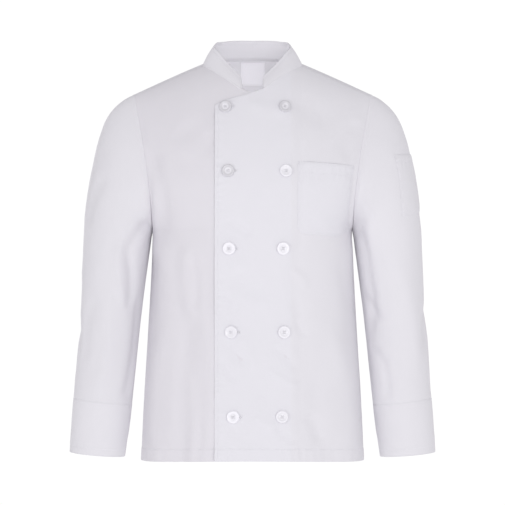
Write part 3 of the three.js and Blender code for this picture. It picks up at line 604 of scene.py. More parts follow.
def tucked(outer, normals, edge, run=1.3, drop=1.1):
    """Adds a row or column past an edge of a grid, sunk under the neighbouring piece.

    edge is "first" or "last" with "row" or "column", such as "last column".
    """
    end, kind = edge.split()
    axis = 0 if kind == "row" else 1
    at, before = (0, 1) if end == "first" else (-1, -2)
    rim = np.take(outer, [at], axis)
    away = unit(rim - np.take(outer, [before], axis))
    out = np.take(normals, [at], axis)
    sunk = rim + away * run - out * drop
    order = (sunk, outer) if end == "first" else (outer, sunk)
    out_order = (out, normals) if end == "first" else (normals, out)
    return np.concatenate(order, axis), np.concatenate(out_order, axis)


def arc_lengths(points, axis):
    """Distance along a line of points, or along each row or column of a grid."""
    steps = np.linalg.norm(np.diff(points, axis=axis), axis=-1)
    zero = np.zeros_like(np.take(steps, [0], axis))
    return np.cumsum(np.concatenate([zero, steps], axis), axis)


def new_object(name, vertices, faces, material, grain=None):
    """A smooth mesh object in metres, with an optional grain map that follows the cloth."""
    mesh = bpy.data.meshes.new(name)
    mesh.from_pydata((np.asarray(vertices) * MM).tolist(), [], faces)
    mesh.polygons.foreach_set("use_smooth", [True] * len(mesh.polygons))
    if grain is not None:
        layer = mesh.uv_layers.new(name="grain")
        corner = np.empty(len(mesh.loops), int)
        mesh.loops.foreach_get("vertex_index", corner)
        layer.data.foreach_set("uv", (grain[corner] * MM).ravel())
    mesh.materials.append(material)
    mesh.update()
    piece = bpy.data.objects.new(name, mesh)
    bpy.context.scene.collection.objects.link(piece)
    return piece


# How far a wall's edge bulges out, as a share of half its thickness.
RIM_ROUND = 0.8


def wall_object(name, outer, normals, thickness, material, closed=False):
    """A thin cloth shell: outer and inner faces, joined by rounded edges."""
    rows, columns = outer.shape[:2]
    count = rows * columns
    number = np.arange(count).reshape(rows, columns)
    grain = np.stack([arc_lengths(outer, 1), arc_lengths(outer, 0)], -1).reshape(-1, 2)
    inner = (outer - normals * np.asarray(thickness)[..., None]).reshape(-1, 3)
    outer = outer.reshape(-1, 3)
    vertices = [outer, inner]
    maps = [grain, grain]
    faces = []

    def strip(first, second, flip=False):
        order = (first[:-1], first[1:], second[1:], second[:-1])
        if flip:
            order = order[::-1]
        faces.extend(np.stack(order, -1).tolist())

    wrapped = np.concatenate([number, number[:, :1]], 1) if closed else number
    for i in range(rows - 1):
        strip(wrapped[i], wrapped[i + 1])
        strip(wrapped[i] + count, wrapped[i + 1] + count, flip=True)

    def rim(edge, inward, flip, around):
        """Joins the two faces along an edge, through a line that bulges out between them."""
        middle = (outer[edge] + inner[edge]) / 2
        outward = unit(outer[edge] - outer[inward])
        depth = np.linalg.norm(outer[edge] - middle, axis=-1, keepdims=True)
        start = sum(len(part) for part in vertices)
        vertices.append(middle + outward * depth * RIM_ROUND)
        maps.append(grain[edge])
        line = np.arange(start, start + len(edge))
        first, second = edge, edge + count
        if around:
            first, second, line = (np.append(run, run[0]) for run in (first, second, line))
        strip(first, line, flip=not flip)
        strip(line, second, flip=not flip)

    rim(number[0], number[1], False, closed)
    rim(number[-1], number[-2], True, closed)
    if not closed:
        rim(number[:, 0], number[:, 1], True, False)
        rim(number[:, -1], number[:, -2], False, False)
    piece = new_object(name, np.concatenate(vertices), faces, material, np.concatenate(maps))
    if not closed:
        close_corners(piece)
    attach(piece, BODY_NAME)
    return piece


def close_corners(piece):
    """Fills the small holes where two rims meet at a corner."""
    work = bmesh.new()
    work.from_mesh(piece.data)
    bmesh.ops.holes_fill(work, edges=[e for e in work.edges if e.is_boundary], sides=8)
    bmesh.ops.recalc_face_normals(work, faces=work.faces)
    work.to_mesh(piece.data)
    work.free()


def sample_line(points, normals, spacing):
    """Even places along a line of points, with normals and directions there."""
    run = arc_lengths(points, 0)
    count = max(2, int(run[-1] / spacing))
    at = (np.arange(count) + 0.5) * run[-1] / count
    reach = 0.4
    along = along_line(at + reach, run, points) - along_line(at - reach, run, points)
    return along_line(at, run, points), unit(along_line(at, run, normals)), unit(along)


def lathe_faces(rings, sides):
    """Faces between neighbouring rings of corners, where a ring of one corner is a pole."""
    faces = []
    for low, high in zip(rings[:-1], rings[1:]):
        for k in range(sides):
            m = (k + 1) % sides
            if len(low) == 1:
                faces.append((low[0], high[m], high[k]))
            elif len(high) == 1:
                faces.append((low[k], low[m], high[0]))
            else:
                faces.append((low[k], low[m], high[m], high[k]))
    return faces


STITCH_SIDES = 5
STITCH_PROFILE = [(-0.5, 0.0), (-0.4, 0.75), (0.0, 1.0), (0.4, 0.75), (0.5, 0.0)]
STITCH_SHARE = 0.8


def capsules(places, normals, along, lengths, radius):
    """Short rounded threads at places, as vertices and faces."""
    side = np.cross(along, normals)
    count = len(places)
    lengths = np.broadcast_to(lengths, count)[:, None]
    around = np.arange(STITCH_SIDES) * 2 * np.pi / STITCH_SIDES
    points = []
    rings = []
    for run, swell in STITCH_PROFILE:
        centre = places + along * run * lengths + normals * radius * (0.25 + 0.35 * swell)
        turns = around if swell else around[:1]
        rings.append([len(points) + k for k in range(len(turns))])
        for angle in turns:
            ring = math.cos(angle) * side + 0.7 * math.sin(angle) * normals
            points.append(centre + radius * swell * ring)
    size = len(points)
    pattern = lathe_faces(rings, STITCH_SIDES)
    vertices = np.stack(points, 1).reshape(-1, 3)
    faces = [tuple(n + i * size for n in face) for i in range(count) for face in pattern]
    return vertices, faces


def stitch_rows(name, lines, settings, material):
    """Rows of thread stitches, as one joined mesh. Each line is (points, normals)."""
    rows = [sample_line(points, normals, settings.stitch_pitch) for points, normals in lines]
    places, out, along = (np.concatenate(part) for part in zip(*rows))
    length = settings.stitch_pitch * STITCH_SHARE
    vertices, faces = capsules(places, out, along, length, settings.thread_width / 2)
    piece = new_object(name, vertices, faces, material)
    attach(piece, BODY_NAME)


# Materials

FLOAT = "NodeSocketFloat"
COLOUR = "NodeSocketColor"


def new_group(name, inputs, outputs):
    """A shader node group, its entry and its end. An input is (label, kind) and maybe a default."""
    group = bpy.data.node_groups.new(name, "ShaderNodeTree")
    for label, kind, *default in inputs:
        made = group.interface.new_socket(name=label, in_out="INPUT", socket_type=kind)
        if default:
            made.default_value = default[0]
    for label, kind in outputs:
        group.interface.new_socket(name=label, in_out="OUTPUT", socket_type=kind)
    return group, group.nodes.new("NodeGroupInput"), group.nodes.new("NodeGroupOutput")


def feed(tree, node, values):
    """Links a node's inputs to the sockets given, or sets them to the values given."""
    for name, value in values.items():
        if isinstance(value, bpy.types.NodeSocket):
            tree.links.new(value, node.inputs[name])
        else:
            node.inputs[name].default_value = value


def math_node(tree, operation, first, second=None):
    node = tree.nodes.new("ShaderNodeMath")
    node.operation = operation
    feed(tree, node, {0: first} if second is None else {0: first, 1: second})
    return node.outputs[0]


def noise_node(tree, values):
    noise = tree.nodes.new("ShaderNodeTexNoise")
    feed(tree, noise, values)
    return noise.outputs[0]


def blend_node(tree, factor, first, second):
    """The first colour where the factor is 0 and the second where it is 1."""
    blend = tree.nodes.new("ShaderNodeMix")
    blend.data_type = "RGBA"
    feed(tree, blend, {"Factor": factor, "A": first, "B": second})
    return blend.outputs["Result"]


def range_node(tree, values, soft=True):
    """A value's place between two limits, with soft or sharp ends."""
    node = tree.nodes.new("ShaderNodeMapRange")
    if soft:
        node.interpolation_type = "SMOOTHSTEP"
    feed(tree, node, values)
    return node.outputs["Result"]


def axes_of(tree, vector):
    """The three outputs X, Y and Z of a vector."""
    parts = tree.nodes.new("ShaderNodeSeparateXYZ")
    tree.links.new(vector, parts.inputs[0])
    return parts.outputs


def coordinates(tree, kind):
    return tree.nodes.new("ShaderNodeTexCoord").outputs[kind]


def group_node(tree, group, values):
    """Places a node group with its own values and returns its one output."""
    node = tree.nodes.new("ShaderNodeGroup")
    node.node_tree = group
    feed(tree, node, values)
    return node.outputs[0]


def twill_group():
    """Twill weave: fine diagonal ribs that follow the cloth's grain, and uneven yarn."""
    group, entry, end = new_group("Twill weave", [("Ribs per metre", FLOAT, 1100.0)], [("Height", FLOAT)])
    grain = group.nodes.new("ShaderNodeUVMap")
    grain.uv_map = "grain"
    x, y, _ = axes_of(group, grain.outputs[0])
    across = math_node(group, "MULTIPLY", x, entry.outputs[0])
    up = math_node(group, "MULTIPLY", y, entry.outputs[0])
    turns = math_node(group, "ADD", across, up)
    rib = math_node(group, "SINE", math_node(group, "MULTIPLY", turns, math.tau))
    yarn = math_node(group, "SINE", math_node(group, "MULTIPLY", up, math.tau * 1.7))
    noise = noise_node(group, {"Vector": grain.outputs[0], "Scale": 900.0, "Detail": 2.0})
    weave = math_node(group, "ADD", rib, math_node(group, "MULTIPLY", yarn, 0.4))
    height = math_node(group, "ADD", weave, math_node(group, "MULTIPLY", noise, 1.2))
    feed(group, end, {"Height": height})
    return group


def tone_group():
    """Faint unevenness of tone, as pressed and handled white cloth has."""
    inputs = [("Size", FLOAT, 9.0), ("Light", COLOUR), ("Dark", COLOUR)]
    group, entry, end = new_group("Cloth tone", inputs, [("Color", COLOUR)])
    size = entry.outputs["Size"]
    noise = noise_node(group, {"Vector": coordinates(group, "Object"), "Scale": size, "Detail": 4.0})
    colour = blend_node(group, noise, entry.outputs["Dark"], entry.outputs["Light"])
    feed(group, end, {"Color": colour})
    return group


def double_group():
    """Doubled cloth lets less light through, so it looks brighter between two values of x."""
    inputs = [("Color", COLOUR), ("Doubled", COLOUR), ("From", FLOAT, 0.0), ("To", FLOAT, 0.0)]
    group, entry, end = new_group("Doubled cloth", inputs, [("Color", COLOUR)])
    x = axes_of(group, coordinates(group, "Object"))[0]
    past = math_node(group, "GREATER_THAN", x, entry.outputs["From"])
    short = math_node(group, "SUBTRACT", entry.outputs["To"], x)
    soft = range_node(group, {"Value": short, "From Min": -0.002, "From Max": 0.003})
    mask = math_node(group, "MULTIPLY", past, soft)
    colour = blend_node(group, mask, entry.outputs["Color"], entry.outputs["Doubled"])
    feed(group, end, {"Color": colour})
    return group


def bare_material(name, values):
    """A material, its tree and its shader, with the shader's plain values set."""
    material = bpy.data.materials.new(name)
    material.use_nodes = True
    tree = material.node_tree
    shader = tree.nodes["Principled BSDF"]
    feed(tree, shader, values)
    return material, tree, shader


def tone_colours(colour, spread):
    light = tuple(min(1.0, c * (1 + spread)) for c in colour)
    dark = tuple(c * (1 - spread) for c in colour)
    return (*light, 1.0), (*dark, 1.0)


def cloth_material(name, colour, weave, groups, doubled=None):
    """Woven cloth. doubled is (colour, from x, to x) where a second layer lies under it."""
    material, tree, shader = bare_material(
        name,
        {
            "Roughness": 0.82, "Specular IOR Level": 0.25,
            "Sheen Weight": weave["sheen"], "Sheen Roughness": 0.5,
        },
    )
    light, dark = tone_colours(colour, weave["spread"])
    seen = group_node(tree, groups["tone"], {"Light": light, "Dark": dark})
    if doubled:
        below, start, end = doubled
        values = {"Color": seen, "Doubled": (*below, 1), "From": start * MM, "To": end * MM}
        seen = group_node(tree, groups["double"], values)
    height = group_node(tree, groups["twill"], {"Ribs per metre": weave["ribs"]})
    relief = tree.nodes.new("ShaderNodeBump")
    feed(tree, relief, {"Strength": weave["bump"], "Distance": 0.0001, "Height": height})
    feed(tree, shader, {"Base Color": seen, "Normal": relief.outputs["Normal"]})
    return material


def thread_material(colour):
    """Sewing thread, a little uneven in tone."""
    material, tree, shader = bare_material("Thread", {"Roughness": 0.6, "Sheen Weight": 0.2})
    light, dark = tone_colours(colour, 0.05)
    noise = noise_node(tree, {"Scale": 1500.0})
    feed(tree, shader, {"Base Color": blend_node(tree, noise, dark, light)})
    return material


# Where a button's middle tone ends and its rim's begins, as shares of its width from its centre. The
# rim's tone is painted reflection: shade on some buttons, a highlight on others.
RIM_FROM = 0.21
RIM_TO = 0.3


def rim_group():
    """Colour of a round piece that faces forward: one in its middle and another on its rim. The rim's
    colour is painted reflection, set darker for shade and lighter for a highlight.
    """
    inputs = [("Rim", COLOUR), ("Middle", COLOUR)]
    group, entry, end = new_group("Button rim, painted reflection", inputs, [("Color", COLOUR)])
    x, _, z = axes_of(group, coordinates(group, "Generated"))
    squares = [math_node(group, "POWER", math_node(group, "SUBTRACT", a, 0.5), 2.0) for a in (x, z)]
    away = math_node(group, "SQRT", math_node(group, "ADD", *squares))
    mask = range_node(group, {"Value": away, "From Min": RIM_FROM, "From Max": RIM_TO})
    colour = blend_node(group, mask, entry.outputs["Middle"], entry.outputs["Rim"])
    feed(group, end, {"Color": colour})
    return group


def button_material(name, rim, middle, groups):
    """Moulded plastic: polished, with a rim and a sunk middle of two tones. The rim's tone is painted
    reflection: shade on some buttons, a highlight on others.
    """
    values = {"Roughness": 0.34, "Coat Weight": 0.25, "Coat Roughness": 0.2}
    material, tree, shader = bare_material(name, values)
    tone = group_node(tree, groups["rim"], {"Rim": (*rim, 1), "Middle": (*middle, 1)})
    feed(tree, shader, {"Base Color": tone})
    return material


# Weaves: ribs to a metre, strength of their relief, spread of tone and sheen.
TWILL = {"ribs": 1100.0, "bump": 0.35, "spread": 0.012, "sheen": 0.18}
TAPE = {"ribs": 2400.0, "bump": 0.2, "spread": 0.01, "sheen": 0.05}
LABEL_COLOUR = (0.925, 0.91, 0.955)

# Painted shade: the under front's cloth is made a shade darker and pinker than the rest, standing in for
# the shade that falls on that panel.
UNDER_PAINTED_SHADE = (0.968, 0.96, 0.966)

# How bright a button's rim is, as a share of its middle. Each is painted reflection: painted shade on
# three buttons, a painted highlight on three more, and a faint painted highlight on the rest.
BUTTON_RIM_SHADING = {
    "button": ("Button plastic", 1.03),
    "button_shaded_rim": ("Button plastic, painted shade on rim", 0.8),
    "button_highlit_rim": ("Button plastic, painted highlight on rim", 1.11),
}
_made = {}


def looks(settings):
    """The jacket's materials, made once."""
    if _made:
        return _made
    groups = {"twill": twill_group(), "tone": tone_group(), "double": double_group(), "rim": rim_group()}
    cloth = tuple(settings.cloth_colour)
    doubled = tuple(settings.doubled_colour)
    # The under front's colour holds painted shade.
    under = tuple(c * share for c, share in zip(cloth, UNDER_PAINTED_SHADE))
    lap = (doubled, -LAP, LAP_LIFT_FROM)
    _made["cloth"] = cloth_material("White twill", cloth, TWILL, groups)
    _made["under"] = cloth_material("White twill, under front, painted shade", under, TWILL, groups)
    _made["lapped"] = cloth_material("White twill over the lap", cloth, TWILL, groups, lap)
    _made["doubled"] = cloth_material("White twill, doubled", doubled, TWILL, groups)
    _made["label"] = cloth_material("Label tape", LABEL_COLOUR, TAPE, groups)
    _made["thread"] = thread_material(tuple(settings.thread_colour))
    middle = tuple(settings.button_colour)
    for look, (name, share) in BUTTON_RIM_SHADING.items():
        rim = tuple(min(1.0, c * share) for c in middle)
        _made[look] = button_material(name, rim, middle, groups)
    return _made


# Settings


class JacketSettings(bpy.types.PropertyGroup):
    """Sizes and colours of the jacket's looks that a user may change."""

    cloth_colour: FloatVectorProperty(
        name="Cloth colour", description="Base colour of the white twill",
        subtype="COLOR", size=3, min=0, max=1, default=(0.798, 0.785, 0.824),
    )
    doubled_colour: FloatVectorProperty(
        name="Doubled cloth colour", description="Base colour of the twill where two layers lie together",
        subtype="COLOR", size=3, min=0, max=1, default=(0.804, 0.794, 0.838),
    )
    thread_colour: FloatVectorProperty(
        name="Thread colour", description="Colour of the sewing thread",
        subtype="COLOR", size=3, min=0, max=1, default=(0.84, 0.83, 0.87),
    )
    button_colour: FloatVectorProperty(
        name="Button colour", description="Colour of the moulded buttons",
        subtype="COLOR", size=3, min=0, max=1, default=(0.83, 0.818, 0.862),
    )
    stitch_pitch: FloatProperty(
        name="Stitch pitch", description="Length of one stitch and its gap, in millimetres",
        default=3.0, min=1.5, max=6,
    )
    thread_width: FloatProperty(
        name="Thread width", description="Width of the sewing thread, in millimetres",
        default=0.62, min=0.2, max=1.5,
    )
    crease_strength: FloatProperty(
        name="Crease strength", description="How deep the creases are, as a share of those shown",
        subtype="FACTOR", default=1.7, min=0, max=3,
    )
    cell: FloatProperty(
        name="Cloth cell", description="Size of the mesh's cells on the cloth, in millimetres",
        default=3.4, min=2.5, max=12,
    )
    button_sides: IntProperty(
        name="Button sides", description="Sides of each button's circle", default=48, min=12, max=96,
    )


def jacket(context):
    return context.scene.chef_jacket


# Fronts


def even_steps(low, high, step):
    """Even numbers from low to high, no further apart than step."""
    return np.linspace(low, high, max(2, int(math.ceil((high - low) / step)) + 1))


# Places of the first columns in from a stitched edge and of the first rows up from the hem.
EDGE_STEPS = np.array([0, 0.8, 2, 3.2, 4.1, 5, 5.9, 6.8, 8.4])
HEM_STEPS = np.array([0, 1.2, 4, 8, 12, 16, 18.5, 20, 21, 22, 23, 24, 25.5, 28])
NECK_STEP = 2.6
STITCH_INSET = 5.0


def front_columns(cell):
    """Column values of the fronts, closer beside the stitched edges."""
    lap_width = COLLAR_END + LAP
    edge = EDGE_STEPS / lap_width * LAP_COLUMNS
    lap = even_steps(edge[-1], LAP_COLUMNS, cell / lap_width * LAP_COLUMNS)[1:]
    neck = even_steps(0, NECK_HALF - COLLAR_END, min(cell, NECK_STEP))[1:] + COLLAR_END
    neck = LAP_COLUMNS + np.interp(neck, FRONT_NECK, np.arange(len(FRONT_NECK)))
    side = even_steps(NECK_COLUMN, FRONT_COLUMNS, cell / FRONT_SIDE_WIDTH * SIDE_COLUMNS)[1:]
    return np.concatenate([edge, lap, neck, side])


def panel_rows(cell, top_rows):
    """Row values of a body panel, closer at the hem's stitches."""
    hem_height = ARMPIT - HEM
    hem = HEM_STEPS / hem_height * LOWER_ROWS
    lower = even_steps(hem[-1], LOWER_ROWS, cell / hem_height * LOWER_ROWS)[1:]
    upper = even_steps(0, 1, cell / UPPER_HEIGHT)[1:]
    upper = np.arccos(1 - 2 * upper) / np.pi * UPPER_ROWS + LOWER_ROWS
    over = even_steps(RIDGE_ROW, RIDGE_ROW + top_rows, 0.2)[1:] if top_rows else []
    return np.concatenate([hem, lower, upper, over])


HEM_BAND = 22.0
HEM_ROW = HEM_BAND / (ARMPIT - HEM) * LOWER_ROWS

# Where the lap's edge stands off the cloth below it: height, reach up and down, and lift.
LAP_WAVES = [(-395, 60, 1.8), (-690, 90, 1.62)]
LAP_WAVE_RUN = 26


def hem_detail(x, z, face, seed):
    """The hem's doubled band, its stitch groove and the gathers beside it, as a raise."""
    away = z - (HEM + HEM_LIFT[face] * (1 - np.clip(np.abs(x) / HEM_HALF, 0, 1) ** 2))
    band = 0.55 * smooth((HEM_BAND + 1.5 - away) / 3)
    gathers = puckers(x, away - HEM_BAND / 2, 16, 17, 0.55, seed)
    return band + gathers - groove(away - HEM_BAND, 1.3, 0.4)


def front_raise(points, u, v, side, strength):
    """How far a front's outer face stands off its form. points are those of the left front."""
    name = "front_left" if side > 0 else "front_right"
    left_x = points[..., 0]
    x = left_x * side
    z = points[..., 2]
    lap_edge = left_x + LAP
    fade = smooth((FRONT_COLUMNS - u) / 1.1) * smooth((FRONT_ROWS - v) / 1.6)
    rise = -strength * crease_depth(x, z, CREASES[name]) * fade
    rise += soft_waves(x, z, SEEDS[name], 0.7) * fade
    if side > 0:
        waves = sum(lift * near(z - height, reach) for height, reach, lift in LAP_WAVES)
        rise += lap_lift(left_x) + waves * smooth((LAP_WAVE_RUN - lap_edge) / LAP_WAVE_RUN)
    else:
        rise -= 0.3 * near(lap_edge, 30)
    rise += puckers(z, lap_edge - STITCH_INSET, 12, 15, 0.8, SEEDS["lap"]) * fade
    rise -= groove(lap_edge - STITCH_INSET)
    rise += hem_detail(x, z, "front", SEEDS[f"{name}_hem"])
    from_seam = (FRONT_COLUMNS - u) * FRONT_SIDE_WIDTH / SIDE_COLUMNS
    above_pit = smooth((z + 300) / 40) * smooth((-70 - z) / 40)
    return rise - near(from_seam - 7, 9) * above_pit


def make_front(side, settings, material):
    name = "front_left" if side > 0 else "front_right"
    u, v = np.meshgrid(front_columns(settings.cell), panel_rows(settings.cell, 0))
    points = front_point(u, v)
    rise = front_raise(points, u, v, side, settings.crease_strength)
    outer = points + grid_normals(points, False) * rise[..., None]
    if side < 0:
        outer = outer[:, ::-1] * (-1, 1, 1)
    normals = grid_normals(outer, False)
    seam = "last column" if side > 0 else "first column"
    shell, out = tucked(outer, normals, seam)
    piece = wall_object(f"{name}_cloth", shell, out, CLOTH, material)
    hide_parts(name)
    if side < 0:
        outer = outer[:, ::-1]
        normals = normals[:, ::-1]
    return {"u": u, "v": v, "outer": outer, "normals": normals}


def column_line(grid, value):
    """The grid's points and normals along the column nearest to a value of u."""
    j = int(np.argmin(np.abs(grid["u"][0] - value)))
    return grid["outer"][:, j], grid["normals"][:, j]


def row_line(grid, value):
    """The grid's points and normals along the row nearest to a value of v."""
    i = int(np.argmin(np.abs(grid["v"][:, 0] - value)))
    return grid["outer"][i], grid["normals"][i]


def offset_line(grid, columns, inset):
    """A line that runs inset below the grid's top row, over a slice of its columns."""
    top = grid["outer"][::-1, columns]
    out = grid["normals"][::-1, columns]
    run = arc_lengths(top, 0)
    count = range(top.shape[1])
    points = [along_line(inset, run[:, j], top[:, j]) for j in count]
    normals = [along_line(inset, run[:, j], out[:, j]) for j in count]
    return np.array(points), np.array(normals)


SHOULDER_INSET = 2.2


def front_stitches(grid):
    """Edge, hem, top and shoulder rows of a front."""
    lap_u = STITCH_INSET / (COLLAR_END + LAP) * LAP_COLUMNS
    u = grid["u"][0]
    lap = (u >= lap_u) & (u <= LAP_COLUMNS)
    return [
        column_line(grid, lap_u),
        row_line(grid, HEM_ROW),
        offset_line(grid, lap, STITCH_INSET),
        offset_line(grid, u >= NECK_COLUMN, SHOULDER_INSET),
    ]


# The back


def back_columns(cell):
    """Column values of the back, from its right edge to its left."""
    middle = even_steps(0, NECK_HALF, cell)
    middle = np.interp(middle, BACK_NECK, np.arange(len(BACK_NECK)))
    side = even_steps(SHOULDER_COLUMN, BACK_COLUMNS, cell / BACK_SIDE_WIDTH * SIDE_COLUMNS)[1:]
    half = np.concatenate([middle, side])
    return np.concatenate([-half[:0:-1], half])


# How far a tucked edge runs on past its seam, and how deep it drops there.
SHOULDER_TUCK = (1.7, 0.6)
CUFF_TUCK = (4.0, 0.6)


def make_back(settings, material):
    u, v = np.meshgrid(back_columns(settings.cell), panel_rows(settings.cell, OVER_ROWS))
    points = back_point(u, v)
    x = points[..., 0]
    z = points[..., 2]
    fade = smooth((BACK_COLUMNS - np.abs(u)) / 1.1) * smooth((RIDGE_ROW - v) / 1.6)
    rise = -settings.crease_strength * crease_depth(x, z, CREASES["back"]) * fade
    rise += soft_waves(x, z, SEEDS["back"], 0.8) * fade
    rise += hem_detail(x, z, "back", SEEDS["back_hem"])
    outer = points - grid_normals(points, False) * rise[..., None]
    normals = -grid_normals(outer, False)
    shell, out = tucked(outer[:, ::-1], normals[:, ::-1], "first column")
    shell, out = tucked(shell, out, "last column")
    shell, out = tucked(shell, out, "last row", *SHOULDER_TUCK)
    piece = wall_object("back_cloth", shell, out, CLOTH, material)
    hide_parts("back")
    return {"u": u, "v": v, "outer": outer, "normals": normals}


# Sleeves and cuffs


def ring_degrees(u):
    angle = np.degrees(armhole_shape(u)[3])
    return np.mod(angle + 360, 360)


# Mean radius of a sleeve and of a cuff, and the spacing of their columns.
SLEEVE_RADIUS = 62.0
CUFF_RADIUS = 50
RING_STEP = 0.25

# Height of a cuff from one ring to the next, and how far its stitched rows lie from its ends.
CUFF_PITCH = 33.0
CUFF_HEM = 14.0
CUFF_SEAM_ROW = 4.0


def wrapped_creases(degrees, z, creases):
    """Creases round a sleeve, read on both sides of the underarm line."""
    stretch = math.radians(1) * SLEEVE_RADIUS
    return sum(crease_depth(degrees + turn, z, creases, stretch) for turn in (-360, 0, 360))


def ring_grid(rings, step):
    """Columns round a sleeve or cuff, and rows along it."""
    columns = np.linspace(0, RING_COLUMNS, int(RING_COLUMNS / RING_STEP) + 1)[:-1]
    return np.meshgrid(columns, even_steps(0, rings, step))


def sleeve_raise(points, u, v, name, strength):
    """How far a sleeve's outer face stands off its form."""
    degrees = ring_degrees(u)
    z = points[..., 2]
    fade = smooth(v / 1.4) * smooth((SLEEVE_RINGS - v) / 0.8)
    from_seam = smooth(np.minimum(degrees, 360 - degrees) / 12)
    around = np.radians(degrees) * SLEEVE_RADIUS
    rise = -strength * wrapped_creases(degrees, z, CREASES[name]) * fade
    rise += soft_waves(around, z, SEEDS[name], 0.8) * fade * from_seam
    rise += 1.6 * near(v - 0.9, 0.7) * smooth((z + 290) / 80)
    return rise - groove((v - 0.22) * 18, 1.6, 0.4) * smooth((z + 300) / 40)


def sleeve_grid(name, strength):
    """The left sleeve's outer face, with the creases of the sleeve that is named."""
    u, v = ring_grid(SLEEVE_RINGS, 0.09)
    points = sleeve_point(u, v)
    rise = sleeve_raise(points, u, v, name, strength)
    outer = points - grid_normals(points, True) * rise[..., None]
    return {"u": u, "v": v, "outer": outer, "normals": -grid_normals(outer, True)}


def cuff_grid():
    """The left cuff's outer face, with the rows of its hem and of its seam pressed in."""
    u, v = ring_grid(CUFF_RINGS, 0.1)
    points = cuff_point(u, v)
    around = np.radians(ring_degrees(u)) * CUFF_RADIUS
    from_hem = (CUFF_RINGS - v) * CUFF_PITCH
    waves = 0.5 * wander(around, points[..., 2], 24, SEEDS["cuff"])
    rise = waves * smooth(v) * smooth(CUFF_RINGS - v) + 0.5
    rise -= groove(from_hem - CUFF_HEM, 1.4, 0.4)
    rise -= groove(v * CUFF_PITCH - CUFF_SEAM_ROW, 1.4, 0.4)
    outer = points - grid_normals(points, True) * rise[..., None]
    return {"u": u, "v": v, "outer": outer, "normals": -grid_normals(outer, True)}


def make_sleeve(side, settings, material):
    """Makes a sleeve and its cuff, and returns their outer faces."""
    name = "left" if side > 0 else "right"
    sleeve = sleeve_grid(f"sleeve_{name}", settings.crease_strength)
    cuff = cuff_grid()
    for grid, node, wall, below, flat, area in (
        (sleeve, f"sleeve_{name}", CLOTH, "back_cloth", (0.43, 0.6), 0.19),
        (cuff, f"cuff_{name}", CUFF_WALL, f"sleeve_{name}_cloth", (0.305, 0.1), 0.0295),
    ):
        grid["outer"] = grid["outer"] * (side, 1, 1)
        grid["normals"] = grid["normals"] * (side, 1, 1)
        points = grid["outer"] if side < 0 else grid["outer"][:, ::-1]
        out = grid["normals"] if side < 0 else grid["normals"][:, ::-1]
        if grid is sleeve:
            points, out = tucked(points, out, "first row")
            points, out = tucked(points, out, "last row", *CUFF_TUCK)
        piece = wall_object(f"{node}_cloth", points, out, wall, material, closed=True)
        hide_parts(node)
    return sleeve, cuff


def closed_line(grid, value):
    points, normals = row_line(grid, value)
    return np.concatenate([points, points[:1]]), np.concatenate([normals, normals[:1]])


# Collar

COLLAR_TOP_STITCH = 4.5
COLLAR_BASE_STITCH = 2.2
COLLAR_DROP = 1.5
COLLAR_OUT = 0.8
COLLAR_END_RUN = 10.0
COLLAR_DENT = 1.6
NECK_ROUNDS = 6


def top_edge(grid, low, high):
    """A panel's top edge between two values of u: its points, normals and u."""
    u = grid["u"][0]
    pick = (np.abs(u) >= low - 1e-6) & (np.abs(u) <= high + 1e-6) & (u >= 0)
    return grid["outer"][-1, pick], grid["normals"][-1, pick], u[pick]


def half_neckline(front, back, side):
    """Half the neck's edge, from the collar's front end to the middle of the back."""
    knots = len(FRONT_NECK) - 1 + SHOULDER_COLUMN
    points, normals, u = top_edge(front, LAP_COLUMNS, NECK_COLUMN)
    behind, behind_out, back_u = top_edge(back, 0, SHOULDER_COLUMN - 0.2)
    along = np.concatenate([(u - LAP_COLUMNS) / knots, (knots - back_u[::-1]) / knots])
    points = np.concatenate([points, behind[::-1] * (side, 1, 1)])
    normals = np.concatenate([normals, behind_out[::-1] * (side, 1, 1)])
    run = arc_lengths(points, 0)
    even = np.concatenate([[0, 0.5, 1.0, 1.7], even_steps(NECK_STEP, run[-1], NECK_STEP)])
    place = along_line(even, run, points)
    out = along_line(even, run, normals)
    for _ in range(NECK_ROUNDS):
        out[1:-1] = (out[:-2] + 2 * out[1:-1] + out[2:]) / 4
        place[5:-1] = (place[4:-2] + 2 * place[5:-1] + place[6:]) / 4
    return place, out, np.interp(even, run, along)


